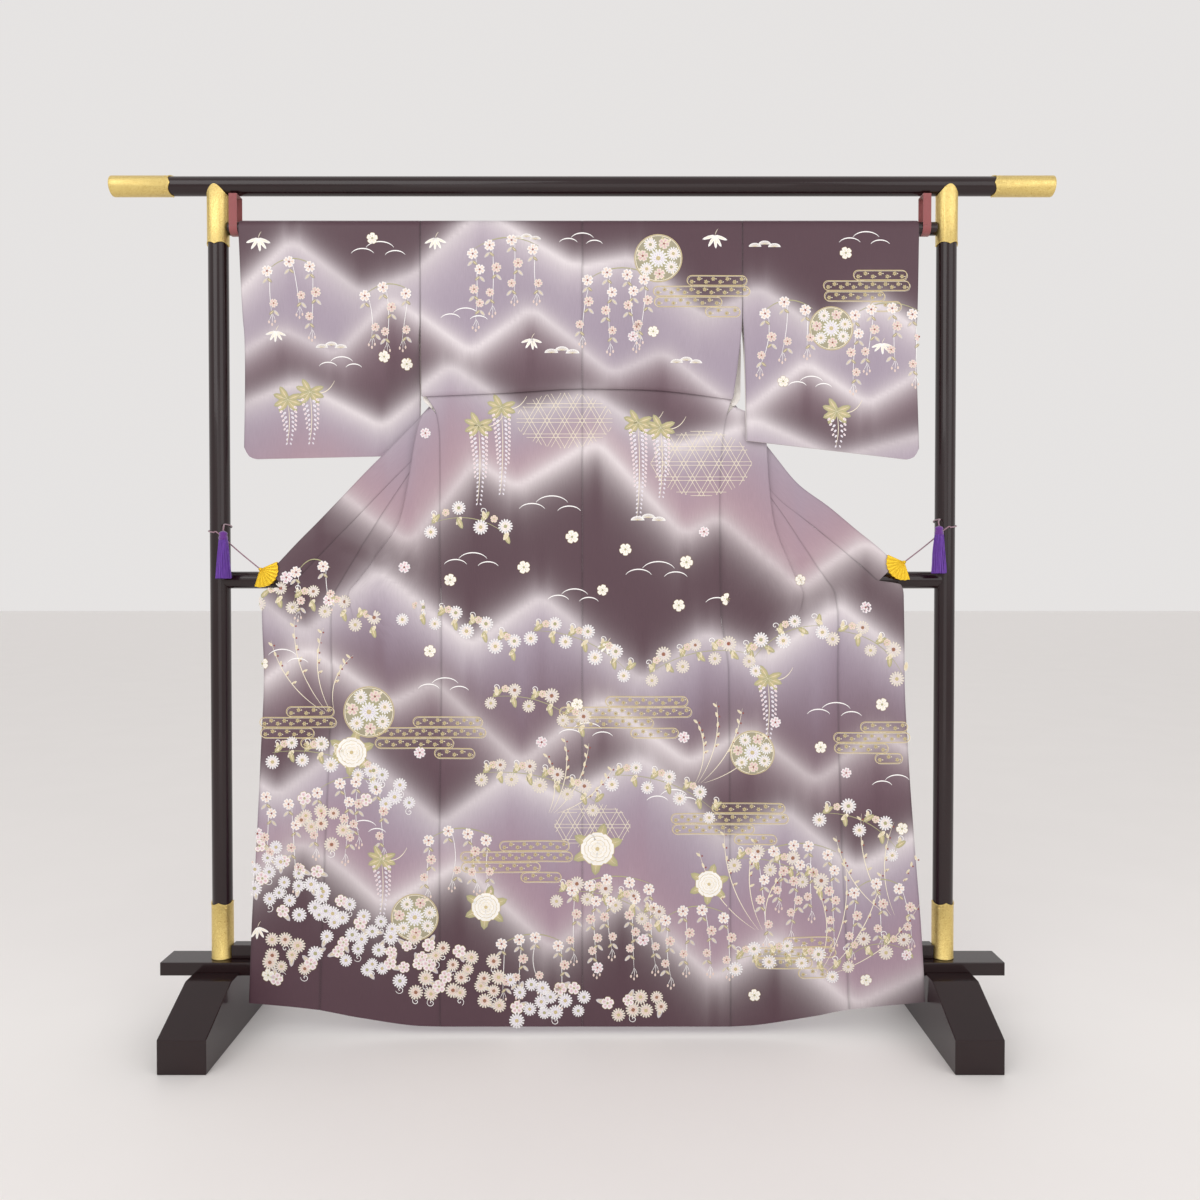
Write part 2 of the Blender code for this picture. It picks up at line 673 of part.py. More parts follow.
def beam_caps():
    """Make the metal caps on the beam's ends, each a cup with a scalloped rim."""
    inside = BEAM_RADIUS + CLEARANCE
    outside = inside + FITTING_WALL
    rim = CAP_LENGTH - SCALLOP * np.abs(np.sin(angles() * 2))
    end = FITTING_WALL + CLEARANCE
    for side, name in SIDE_NAMES.items():
        rings = []
        profile = (
            (outside - CAP_EDGE, 0),
            (outside, CAP_EDGE),
            (outside, rim),
            (inside, rim),
            (inside, end),
        )
        for radius, reach in profile:
            ring = bar_ring(radius, 0)
            ring[:, 0] = side * (BEAM_HALF_LENGTH + end - reach)
            rings.append(ring)
        item = place(f"beam_cap_{name}", rings_to_shape(rings), "gold", GOLD)
        item.location = (0, 0, BEAM_HEIGHT)


def post_fittings():
    """Make the metal sleeves at the head and foot of each post."""
    inside = POST_RADIUS + CLEARANCE
    outside = inside + FITTING_WALL
    scallop = SCALLOP * np.abs(np.sin(angles() * 2))
    tongue = TONGUE_RISE * np.abs(np.cos(angles())) ** 3
    head = BEAM_HEIGHT - BEAM_RADIUS - CLEARANCE
    shapes = {
        "head_fitting": (HEAD_FITTING_LOW + scallop, head + tongue),
        "foot_fitting": (np.full(ROUND_SIDES, BOARD_TOP + CLEARANCE), FOOT_FITTING_TOP - scallop),
    }
    for side, name in SIDE_NAMES.items():
        for fitting, (low, high) in shapes.items():
            rings = []
            for radius, level in ((outside, low), (outside, high), (inside, high), (inside, low)):
                ring = post_ring(radius, 0)
                ring[:, 2] = level
                rings.append(ring)
            shape = rings_to_shape(rings, closed_ends=False)
            item = place(f"{fitting}_{name}", shape, "gold", GOLD)
            item.location = (side * POST_X, 0, 0)


def extruded(outline, half_width):
    """Extrude an outline in the Y and Z plane along X."""
    return rings_to_shape([[(x, y, z) for y, z in outline] for x in (-half_width, half_width)])


def bevelled(item, width):
    """Round the edges of a block a little."""
    edge = item.modifiers.new("edge", "BEVEL")
    edge.width = width
    edge.segments = 2
    edge.limit_method = "ANGLE"


def base():
    """Make the board across the feet, the stretcher on it and the feet notched to take it."""
    length, depth, thickness = BOARD_SIZE
    low = BOARD_TOP - thickness
    outline = [(-depth / 2, low), (depth / 2, low), (depth / 2, BOARD_TOP), (-depth / 2, BOARD_TOP)]
    bevelled(place("base_board", extruded(outline, length / 2), "lacquer", LACQUER), 0.0012)
    reach = POST_X - POST_RADIUS - FITTING_WALL - 2 * CLEARANCE
    foot = BOARD_TOP + CLEARANCE
    head = foot + STRETCHER_HEIGHT
    deep = STRETCHER_DEPTH / 2
    outline = [(-deep, foot), (deep, foot), (deep, head), (-deep, head)]
    bevelled(place("stretcher", extruded(outline, reach), "lacquer", LACQUER), 0.0012)
    notch = depth / 2 + CLEARANCE
    half = [
        (FOOT_HALF_LENGTH, 0),
        (FOOT_HALF_LENGTH, FOOT_TOE_HEIGHT),
        (FOOT_FLAT_HALF, FOOT_TOP),
        (notch, FOOT_TOP),
        (notch, low - CLEARANCE),
    ]
    outline = half + [(-y, z) for y, z in reversed(half)]
    for side, name in SIDE_NAMES.items():
        item = place(f"foot_{name}", foot_block(outline), "lacquer", LACQUER)
        item.location = (side * POST_X, 0, 0)
        bevelled(item, 0.0015)


def foot_block(outline):
    """Extrude the foot's outline, whose ends are not convex, between two filled faces."""
    shape = bmesh.new()
    made = [
        [shape.verts.new((x, y, z)) for y, z in outline] for x in (-FOOT_WIDTH / 2, FOOT_WIDTH / 2)
    ]
    for here in range(len(outline)):
        there = (here + 1) % len(outline)
        shape.faces.new((made[0][here], made[0][there], made[1][there], made[1][here]))
    for ring in made:
        shape.faces.new(ring)
    return shape


def straps():
    """Make the strap loops that hang the pole under the beam."""
    inside = POLE_RADIUS + CLEARANCE
    top = BEAM_HEIGHT - BEAM_RADIUS - CLEARANCE
    turn = np.linspace(0, np.pi, 13)
    for side, name in SIDE_NAMES.items():
        loops = []
        for wall in (STRAP_WALL, 0):
            radius = inside + wall
            crown = top - (STRAP_WALL - wall)
            loop = [(-radius * np.cos(a), POLE_HEIGHT - radius * np.sin(a)) for a in turn]
            loop += [(radius, crown), (-radius, crown)]
            loops.append(loop)
        rings = []
        for loop, x in ((0, -1), (0, 1), (1, 1), (1, -1)):
            rings.append([(x * STRAP_WIDTH / 2, y, z) for y, z in loops[loop]])
        shape = rings_to_shape(rings, closed_ends=False)
        item = place(f"strap_{name}", shape, "strap_cloth", STRAP_CLOTH)
        item.location = (side * STRAP_X[side], 0, 0)


def clip_depth(side):
    """Return the depth of the middle of the cloth's layers at a clip."""
    return float(along(DEPTHS, DEPTH_COLUMNS, "far", CLIPS[side]["height"])) + COLLAR_LAP / 2


def fan_clip(side):
    """Make a fan clip: two pleated leaves either side of the cloth, joined at the pivot."""
    spread = np.radians(np.linspace(FAN_HIGH_ANGLE, FAN_LOW_ANGLE, FAN_PLEATS * 2 + 1))
    depth = clip_depth(side)
    levels = (0.0, 0.5, 1.0)
    shape = bmesh.new()
    rings = []
    pleat = FAN_RELIEF * (np.arange(len(spread)) % 2)
    for leaf in (-1, 1):
        for face in (0, 1):
            y = depth + leaf * (FAN_JAW / 2 + face * FAN_LEAF + pleat)
            for level in levels:
                radius = FAN_PIVOT_RADIUS + (FAN_RADIUS - FAN_PIVOT_RADIUS) * level
                rim = radius - FAN_NOTCH * level * (np.arange(len(spread)) % 2)
                x = -side * rim * np.cos(spread)
                z = -rim * np.sin(spread)
                rings.append([shape.verts.new(p) for p in zip(x, y, z)])
    near_in, near_out, far_in, far_out = rings[0:3], rings[3:6], rings[6:9], rings[9:12]
    for inner, outer in ((near_in, near_out), (far_in, far_out)):
        for faces in (inner, outer):
            for first, second in zip(faces, faces[1:]):
                for here in range(len(spread) - 1):
                    shape.faces.new((first[here], first[here + 1], second[here + 1], second[here]))
        for here in range(len(spread) - 1):
            rim = (inner[2][here], inner[2][here + 1], outer[2][here + 1], outer[2][here])
            shape.faces.new(rim)
        for edge in (0, -1):
            for level in range(2):
                shape.faces.new(
                    (
                        inner[level][edge],
                        inner[level + 1][edge],
                        outer[level + 1][edge],
                        outer[level][edge],
                    )
                )
    back = np.radians(np.linspace(FAN_LOW_ANGLE, 360 + FAN_HIGH_ANGLE, 9))[1:-1]
    collars = []
    for y in (
        depth - FAN_JAW / 2 - FAN_LEAF,
        depth - FAN_JAW / 2,
        depth + FAN_JAW / 2,
        depth + FAN_JAW / 2 + FAN_LEAF,
    ):
        x = -side * FAN_PIVOT_RADIUS * np.cos(back)
        z = -FAN_PIVOT_RADIUS * np.sin(back)
        collars.append([shape.verts.new((px, y, pz)) for px, pz in zip(x, z)])
    loops = [
        near_out[0] + collars[0],
        near_in[0] + collars[1],
        far_in[0] + collars[2],
        far_out[0] + collars[3],
    ]
    count = len(loops[0])
    for index, (first, second) in enumerate(zip(loops, loops[1:])):
        for here in range(count):
            there = (here + 1) % count
            if index != 1 and here < len(spread) - 1:
                continue
            shape.faces.new((first[here], first[there], second[there], second[here]))
    for loop in (loops[0], loops[-1]):
        y = loop[-1].co.y
        middle = shape.verts.new((0, y, 0))
        for here in range(count):
            shape.faces.new((loop[here], loop[(here + 1) % count], middle))
    item = place(f"fan_clip_{SIDE_NAMES[side]}", shape, "fan_gold", FAN_GOLD)
    item.location = (side * CLIPS[side]["x"], 0, CLIPS[side]["height"])


def cord_route(side):
    """Return the clip cord's route: from the pivot round the post and down to the tassel."""
    clip = CLIPS[side]
    top = clip["tassel_top"]
    ring = POST_RADIUS + CORD_RADIUS + 2 * CLEARANCE
    tassel_y = -(POST_RADIUS + TASSEL_HEAD_RADIUS * TASSEL_FLARE + TASSEL_GAP)
    reach = FAN_PIVOT_RADIUS + CLEARANCE
    start = np.array([clip["x"] + reach * 0.85, clip_depth(side), clip["height"] + reach * 0.53])
    route = [start]
    turn = np.radians(np.linspace(CORD_TURN_START, CORD_TURN_END, 16))
    rise = np.linspace(-0.003, 0.0135, 16)
    loop = np.stack([POST_X + ring * np.sin(turn), -ring * np.cos(turn), top + rise], axis=1)
    route.append(start + (loop[0] - start) * 0.5 - (0, 0.0008, 0.001))
    route += list(loop)
    route.append(np.array([POST_X - ring * 0.80, -ring * 0.98, top + 0.0140]))
    route.append(np.array([clip["tassel_x"], tassel_y * 0.93, top + 0.0090]))
    route.append(np.array([clip["tassel_x"], tassel_y, top + 0.0004]))
    return np.array(route) * (side, 1, 1)


def smooth_route(points, step):
    """Return evenly spaced points on a smooth curve through a route's own points."""
    padded = np.vstack([2 * points[0] - points[1], points, 2 * points[-1] - points[-2]])
    part = np.linspace(0, 1, 12, endpoint=False)[:, None]
    curve = []
    for before, here, there, after in zip(padded, padded[1:], padded[2:], padded[3:]):
        bend = 2 * before - 5 * here + 4 * there - after
        twist = 3 * here - before - 3 * there + after
        curve.append(here + part * (there - before) / 2 + part**2 * bend / 2 + part**3 * twist / 2)
    curve = np.vstack(curve + [points[-1:]])
    run = np.concatenate([[0], np.cumsum(np.linalg.norm(np.diff(curve, axis=0), axis=1))])
    marks = np.linspace(0, run[-1], max(2, round(run[-1] / step)))
    return np.stack([np.interp(marks, run, curve[:, axis]) for axis in range(3)], axis=1)


def clip_cord(side):
    """Make the cord from a clip round the post to the tassel."""
    route = smooth_route(cord_route(side), CORD_RADIUS * 4)
    curve = bpy.data.curves.new(f"clip_cord_{SIDE_NAMES[side]}", "CURVE")
    curve.dimensions = "3D"
    curve.bevel_depth = CORD_RADIUS
    curve.bevel_resolution = 2
    curve.use_fill_caps = True
    line = curve.splines.new("POLY")
    line.points.add(len(route) - 1)
    for point, place_at in zip(line.points, route):
        point.co = (*place_at, 1)
    curve.materials.append(material("cord_cloth", CORD_CLOTH))
    item = bpy.data.objects.new(curve.name, curve)
    bpy.context.collection.objects.link(item)


def tassel(side):
    """Make a tassel: a round head, with strands drawn from the faces of its underside."""
    turn = np.arange(TASSEL_SIDES) * 2 * np.pi / TASSEL_SIDES
    radius = TASSEL_HEAD_RADIUS
    profile = (
        (radius * 0.36, 0.0),
        (radius * 0.70, 0.0),
        (radius, 0.0),
        (radius * 1.08, 0.005),
        (radius * 0.92, 0.010),
        (radius * 0.96, 0.0125),
        (radius * 0.62, 0.0165),
        (radius * 0.24, TASSEL_NECK),
    )
    rings = []
    for reach, height in profile:
        rings.append([(reach * math.cos(a), reach * math.sin(a), height) for a in turn])
    shape = rings_to_shape(rings)
    shape.faces.ensure_lookup_table()
    roots = [face for face in shape.faces if max(vert.co.z for vert in face.verts) < 1e-6]
    bmesh.ops.inset_individual(shape, faces=roots, thickness=TASSEL_ROOT, depth=0)
    made = bmesh.ops.extrude_discrete_faces(shape, faces=roots)["faces"]
    for order, face in enumerate(made):
        middle = face.calc_center_median()
        sway = TASSEL_SWAY * math.sin(order * 2.4)
        drop = TASSEL_LENGTH * (1 - 0.03 * ((order * 7) % 5) / 5)
        for vert in face.verts:
            vert.co.x = middle.x * TASSEL_FLARE + (vert.co.x - middle.x) + sway
            vert.co.y = middle.y * TASSEL_FLARE + (vert.co.y - middle.y) + sway * 0.5
            vert.co.z -= drop
    clip = CLIPS[side]
    item = place(f"tassel_{SIDE_NAMES[side]}", shape, "tassel_silk", TASSEL_SILK)
    depth = -(POST_RADIUS + radius * TASSEL_FLARE + TASSEL_GAP)
    item.location = (side * clip["tassel_x"], depth, clip["tassel_top"] - TASSEL_NECK)


def kimono():
    """Make the eight pieces that are cut and sewn."""
    for side, name in SIDE_NAMES.items():
        place(f"body_{name}", wall_from_grid(body_grid(side), WALL), "silk", SILK)
        place(f"overlap_{name}", wall_from_grid(overlap_grid(side), WALL), "silk", SILK)
        place(f"sleeve_{name}", wall_from_grid(sleeve_grid(side), WALL), "silk", SILK)
        collar = wall_from_grid(collar_grid(side), WALL)
        place(f"collar_{name}", collar, "collar_silk", COLLAR_SILK)


def stand():
    """Make the stand, its metal fittings and what hangs on it."""
    bar("top_beam", BEAM_RADIUS, BEAM_HALF_LENGTH, BEAM_HEIGHT)
    bar("hanging_pole", POLE_RADIUS, POLE_HALF_LENGTH, POLE_HEIGHT)
    middle_rail()
    posts()
    beam_caps()
    post_fittings()
    base()
    straps()
    for side in SIDE_NAMES:
        fan_clip(side)
        clip_cord(side)
        tassel(side)


clear_scene()
kimono()
stand()
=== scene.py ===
"""Looks of a lined silk kimono spread on a lacquered display stand, seen from its back.

Units are metres, +Z is up, +X is to the viewer's right and the viewer stands at -Y. The cloth is
worked out from the same tables as the solids, then refined and creased. The dyed mist is a colour
at each point of the cloth, and the flowers are thin shapes laid on it.
"""

import logging
import math
from dataclasses import dataclass, field
from enum import Enum

import bpy
import numpy as np
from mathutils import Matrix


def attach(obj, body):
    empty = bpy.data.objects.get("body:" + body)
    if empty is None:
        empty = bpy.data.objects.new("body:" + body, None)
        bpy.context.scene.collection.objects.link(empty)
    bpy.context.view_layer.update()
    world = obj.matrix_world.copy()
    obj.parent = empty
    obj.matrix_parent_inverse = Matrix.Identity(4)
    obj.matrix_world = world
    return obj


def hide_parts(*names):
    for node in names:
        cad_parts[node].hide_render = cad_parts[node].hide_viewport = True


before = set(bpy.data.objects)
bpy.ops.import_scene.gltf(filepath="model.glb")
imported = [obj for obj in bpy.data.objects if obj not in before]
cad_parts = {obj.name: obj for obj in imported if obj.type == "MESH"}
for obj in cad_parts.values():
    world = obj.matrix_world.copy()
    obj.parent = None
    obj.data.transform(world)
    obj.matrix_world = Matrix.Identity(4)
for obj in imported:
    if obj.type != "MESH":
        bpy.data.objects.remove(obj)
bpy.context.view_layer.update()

log = logging.getLogger("kimono")
Array = np.ndarray
Colour = tuple[float, float, float]
Place = tuple[float, float, float]
Grid = tuple[Array, Array]


class Side(Enum):
    """The viewer's left or right."""

    LEFT = -1
    RIGHT = 1

    @property
    def label(self) -> str:
        """Return the side's word in the names of pieces."""
        return self.name.lower()


def ring_angles(count: int) -> Array:
    """Return the angles of points spread evenly round a circle."""
    return np.arange(count) * 2 * np.pi / count


def on_circle(angle: Array) -> Array:
    """Return the points of a circle of radius one at some angles."""
    return np.stack([np.cos(angle), np.sin(angle)], axis=-1)


def read_line(marks: Array, run: Array, line: Array) -> Array:
    """Return a line's points at marks, from how far along each of its own points lies."""
    return np.stack([np.interp(marks, run, column) for column in line.T], axis=1)


def run_along(line: Array) -> Array:
    """Return how far along a line of points each one lies."""
    return np.concatenate([[0], np.cumsum(np.linalg.norm(np.diff(line, axis=0), axis=1))])


def for_each(value: Array | float, at: Array) -> Array:
    """Return a value for each place, from one number or from as many."""
    return np.broadcast_to(np.asarray(value, dtype=float), (len(at),))


def linear(colour: Colour) -> Array:
    """Turn a colour as the eye sees it, 0 to 255, into linear light."""
    return (np.asarray(colour, dtype=float) / 255) ** 2.2


def ease(value: Array | float) -> Array:
    """Return a soft step from 0 to 1: three times the square less twice the cube."""
    value = np.clip(value, 0, 1)
    return value * value * (3 - 2 * value)


def smooth_between(knots: Array, values: Array, at: Array) -> Array:
    """Read values between knots with cubic pieces that never overshoot.

    The slope at a knot is the harmonic mean of the rises on both sides, or zero where they turn.

    Args:
        knots: rising places, n of them.
        values: what is known at each knot, n by anything.
        at: the places to read, of any shape.

    Returns:
        The values there, with the shape of at and then that of one value.
    """
    at = np.clip(at, knots[0], knots[-1])
    spread = (slice(None),) + (None,) * (values.ndim - 1)
    rises = np.diff(values, axis=0) / np.diff(knots)[spread]
    slopes = np.zeros_like(values)
    turns = rises[:-1] * rises[1:] > 0
    mean = 2 * rises[:-1] * rises[1:] / np.where(turns, rises[:-1] + rises[1:], 1)
    slopes[1:-1] = np.where(turns, mean, 0)
    slopes[0] = rises[0]
    slopes[-1] = rises[-1]
    left = np.clip(np.searchsorted(knots, at, side="right") - 1, 0, len(knots) - 2)
    shape = at.shape + (1,) * (values.ndim - 1)
    span = (knots[left + 1] - knots[left]).reshape(shape)
    part = (at - knots[left]).reshape(shape) / span
    start = (1 + 2 * part) * (1 - part) ** 2 * values[left]
    start_slope = part * (1 - part) ** 2 * span * slopes[left]
    end = part**2 * (3 - 2 * part) * values[left + 1]
    end_slope = part**2 * (part - 1) * span * slopes[left + 1]
    return start + start_slope + end + end_slope


@dataclass(frozen=True)
class Table:
    """Listed numbers: a row for each level or place, with named columns."""

    columns: tuple[str, ...]
    rows: tuple[tuple[float, ...], ...]

    def column(self, name: str) -> Array:
        """Return one named column."""
        return np.array([row[self.columns.index(name)] for row in self.rows], dtype=float)

    def read(self, name: str, at: Array | float, key: str = "height") -> Array:
        """Read a column smoothly between its rows, at places along the key column."""
        keys = self.column(key)
        order = np.argsort(keys)
        return smooth_between(keys[order], self.column(name)[order], np.asarray(at, dtype=float))

    def only(self, name: str, low: float, high: float) -> "Table":
        """Return the rows whose named column lies from low to high."""
        place = self.columns.index(name)
        return Table(self.columns, tuple(row for row in self.rows if low <= row[place] <= high))


@dataclass(frozen=True)
class ClothSizes:
    """Sizes that all the pieces of the garment share."""

    wall: float = 0.0016
    seam_gap: float = 0.00006
    pleat_gap: float = 0.0034
    collar_width: float = 0.050
    tuck_depth: float = 0.024
    fold_radius: float = 0.0145
    pole_height: float = 1.599
    cell: float = 0.0062
    hem_fade: float = 0.36
    pleat_start: float = 1.45
    pleat_end: float = 0.81
    pleat_start_ease: float = 0.06
    pleat_end_ease: float = 0.05
    side_seam_top: float = 1.235
    overlap_tip: float = 1.180
    fold_tip: float = 0.0026
    tuck_tip: float = 0.0022
    # Painted shade along a piece's long edges, where the cloth rolls in to a seam: its strength and its
    # width.
    painted_seam_shade: float = 0.30
    painted_shade_width: float = 0.0020
    collar_gap: float = 0.0007
    neck_top: float = 1.59
    neck_fade: float = 0.02
    edge_lines: tuple[float, ...] = (0.0012, 0.0028)
    edge_thinning: float = 0.55
    edge_reach: float = 0.0016
    crease_top: float = 1.575
    crease_fade: float = 0.05
    clip_x: float = 0.62
    clip_height: float = 0.925
    clip_calm: float = 0.02
    clip_fade: float = 0.03

    @property
    def collar_lap(self) -> float:
        """Return how far the collar lies behind the panels' edge."""
        return self.wall + self.collar_gap


SIZES = ClothSizes()

# Depth of the cloth at each height: near is the plane of the back panels below the tuck, and far
# the plane that the fronts hang in. The back above the tuck has its own table.
DEPTHS = Table(
    ("height", "near", "far"),
    (
        (1.620, -0.0100, 0.0145),
        (1.500, -0.0130, 0.0110),
        (1.430, -0.0150, 0.0080),
        (1.350, -0.0165, 0.0040),
        (1.260, -0.0180, -0.0020),
        (1.180, -0.0200, -0.0080),
        (1.100, -0.0222, -0.0130),
        (1.020, -0.0255, -0.0180),
        (0.943, -0.0300, -0.0230),
        (0.870, -0.0322, -0.0262),
        (0.830, -0.0328, -0.0292),
        (0.790, -0.0332, -0.0318),
        (0.720, -0.0338, -0.0338),
        (0.500, -0.0360, -0.0360),
        (0.140, -0.0390, -0.0390),
        (0.000, -0.0375, -0.0375),
    ),
)
UPPER_BACK = Table(
    ("height", "depth"),
    ((1.599, -0.0145), (1.450, -0.0182), (1.350, -0.0218), (1.240, -0.0250)),
)

# The rise of the hem towards the front edges, and the line of the tuck across the back.
HEM = Table(
    ("x", "height"),
    ((0.000, 0.017), (0.290, 0.017), (0.460, 0.038), (0.520, 0.050), (0.680, 0.066)),
)
TUCK = Table(
    ("x", "height"),
    ((-0.320, 1.261), (-0.133, 1.270), (0.000, 1.278), (0.115, 1.276), (0.320, 1.252)),
)

# One row for each level of a front: the side seam or armhole edge, the outward pleat edge, the
# inward pleat edge, the overlap panel's seam and the outer edge below the collar. A zero stands
# where the collar's seam bounds the panel.
FRONT_COLUMNS = ("height", "side", "pleat_out", "pleat_in", "overlap_seam", "outer")
FRONTS = {
    Side.LEFT: Table(
        FRONT_COLUMNS,
        (
            (1.599, 0.3200, 0.2900, 0.1700, 0.0, 0.0),
            (1.550, 0.3200, 0.2850, 0.1720, 0.0, 0.0),
            (1.500, 0.3200, 0.2800, 0.1750, 0.0, 0.0),
            (1.430, 0.3195, 0.2700, 0.1750, 0.0, 0.0),
            (1.350, 0.3190, 0.2600, 0.1740, 0.0, 0.0),
            (1.300, 0.3180, 0.2650, 0.1400, 0.0, 0.0),
            (1.262, 0.3165, 0.2720, 0.1550, 0.0, 0.0),
            (1.225, 0.2880, 0.3170, 0.1800, 0.0, 0.0),
            (1.180, 0.2820, 0.3300, 0.2120, 0.2985, 0.0),
            (1.100, 0.2810, 0.3430, 0.2585, 0.3520, 0.0),
            (1.020, 0.2810, 0.3600, 0.2990, 0.4040, 0.0),
            (0.943, 0.2800, 0.4080, 0.3740, 0.4500, 0.0),
            (0.905, 0.2790, 0.4360, 0.4120, 0.4720, 0.6200),
            (0.870, 0.2780, 0.4600, 0.4430, 0.4900, 0.6330),
            (0.830, 0.2770, 0.4500, 0.4560, 0.4950, 0.6320),
            (0.790, 0.2770, 0.4100, 0.4400, 0.4950, 0.6300),
            (0.720, 0.2770, 0.3800, 0.4300, 0.4930, 0.6270),
            (0.550, 0.2790, 0.3750, 0.4250, 0.4990, 0.6340),
            (0.370, 0.2810, 0.3750, 0.4250, 0.5070, 0.6430),
            (0.200, 0.2810, 0.3750, 0.4250, 0.5130, 0.6520),
            (0.017, 0.2810, 0.3750, 0.4250, 0.5190, 0.6590),
        ),
    ),
    Side.RIGHT: Table(
        FRONT_COLUMNS,
        (
            (1.599, 0.3165, 0.2900, 0.1700, 0.0, 0.0),
            (1.550, 0.3165, 0.2850, 0.1720, 0.0, 0.0),
            (1.500, 0.3165, 0.2800, 0.1740, 0.0, 0.0),
            (1.430, 0.3160, 0.2700, 0.1730, 0.0, 0.0),
            (1.350, 0.3160, 0.2600, 0.1720, 0.0, 0.0),
            (1.300, 0.3150, 0.2650, 0.1400, 0.0, 0.0),
            (1.262, 0.3130, 0.2720, 0.1600, 0.0, 0.0),
            (1.225, 0.2860, 0.3350, 0.2000, 0.0, 0.0),
            (1.180, 0.2780, 0.3630, 0.2330, 0.2948, 0.0),
            (1.100, 0.2720, 0.3680, 0.2870, 0.3480, 0.0),
            (1.020, 0.2710, 0.3770, 0.3230, 0.4040, 0.0),
            (0.943, 0.2710, 0.4030, 0.3750, 0.4530, 0.0),
            (0.905, 0.2710, 0.4200, 0.4030, 0.4790, 0.6240),
            (0.870, 0.2710, 0.4350, 0.4270, 0.5000, 0.6350),
            (0.830, 0.2730, 0.4250, 0.4350, 0.5040, 0.6350),
            (0.790, 0.2785, 0.3900, 0.4250, 0.5040, 0.6350),
            (0.720, 0.2880, 0.3800, 0.4300, 0.5030, 0.6350),
            (0.550, 0.2900, 0.3800, 0.4300, 0.5060, 0.6430),
            (0.370, 0.2910, 0.3800, 0.4300, 0.5120, 0.6560),
            (0.200, 0.2920, 0.3850, 0.4350, 0.5190, 0.6680),
            (0.017, 0.2930, 0.3850, 0.4350, 0.5270, 0.6780),
        ),
    ),
}

# How far the back's edge lies inside the front's, beside the open slit above the side seam.
BACK_INSET = Table(
    ("height", "left", "right"),
    (
        (1.599, 0.0, 0.0),
        (1.430, 0.0, 0.0),
        (1.350, 0.0, 0.0060),
        (1.300, 0.0, 0.0120),
        (1.262, 0.0, 0.0170),
        (1.225, 0.0, 0.0),
        (0.000, 0.0, 0.0),
    ),
)

# The collar's free edge from the back neck to the clip, and how far the band has turned over: at
# 180 degrees its seam lies above the free edge, and at 0 degrees below it.
COLLAR_COLUMNS = ("x", "height", "turn")
COLLARS = {
    Side.LEFT: Table(
        COLLAR_COLUMNS,
        (
            (0.000, 1.5530, 180),
            (0.045, 1.5520, 180),
            (0.080, 1.5420, 168),
            (0.108, 1.5150, 145),
            (0.140, 1.4700, 112),
            (0.178, 1.4150, 74),
            (0.222, 1.3550, 38),
            (0.268, 1.2950, 14),
            (0.316, 1.2350, 3),
            (0.372, 1.1740, 0),
            (0.428, 1.1170, 0),
            (0.475, 1.0670, 0),
            (0.521, 1.0180, 0),
            (0.564, 0.9740, 0),
            (0.606, 0.9290, 0),
            (0.619, 0.9160, 0),
        ),
    ),
    Side.RIGHT: Table(
        COLLAR_COLUMNS,
        (
            (0.000, 1.5530, 180),
            (0.045, 1.5520, 180),
            (0.080, 1.5420, 168),
            (0.108, 1.5150, 145),
            (0.140, 1.4700, 112),
            (0.176, 1.4130, 74),
            (0.218, 1.3560, 38),
            (0.262, 1.3050, 14),
            (0.314, 1.2380, 3),
            (0.384, 1.1450, 0),
            (0.428, 1.0910, 0),
            (0.489, 1.0450, 0),
            (0.547, 0.9960, 0),
            (0.583, 0.9670, 0),
            (0.608, 0.9440, 0),
            (0.620, 0.9320, 0),
        ),
    ),
}

# The depth of a sleeve's near and far wall away from the body, and its inner and outer edge.
SLEEVE_COLUMNS = ("height", "near", "far")
SLEEVE_WALLS = {
    Side.LEFT: Table(
        SLEEVE_COLUMNS,
        (
            (1.599, -0.0145, 0.0145),
            (1.500, -0.0105, 0.0130),
            (1.400, -0.0040, 0.0125),
            (1.300, 0.0020, 0.0115),
            (1.200, 0.0055, 0.0103),
            (1.130, 0.0070, 0.0091),
        ),
    ),
    Side.RIGHT: Table(
        SLEEVE_COLUMNS,
        (
            (1.599, -0.0145, 0.0145),
            (1.500, -0.0190, 0.0020),
            (1.400, -0.0235, -0.0080),
            (1.300, -0.0280, -0.0180),
            (1.200, -0.0308, -0.0258),
            (1.130, -0.0320, -0.0299),
        ),
    ),
}
SLEEVE_EDGES = {
    Side.LEFT: Table(
        ("height", "inner", "outer"),
        (
            (1.620, 0.3204, 0.680),
            (1.415, 0.3204, 0.675),
            (1.380, 0.3225, 0.673),
            (1.150, 0.3260, 0.679),
        ),
    ),
    Side.RIGHT: Table(
        ("height", "inner", "outer"),
        (
            (1.620, 0.3169, 0.666),
            (1.415, 0.3169, 0.660),
            (1.380, 0.3190, 0.657),
            (1.150, 0.3230, 0.662),
        ),
    ),
}
SLEEVE_HEMS = {Side.LEFT: (1.150, 1.142), Side.RIGHT: (1.174, 1.134)}


def lift_hem(points: Array) -> Array:
    """Raise the lowest stretch of cloth to the line of the hem, fading out upwards."""
    low = HEM.rows[0][1]
    rise = HEM.read("height", np.abs(points[..., 0]), "x") - low
    fade = np.clip(1 - (points[..., 2] - low) / SIZES.hem_fade, 0, 1)
    points[..., 2] += rise * fade
    return points


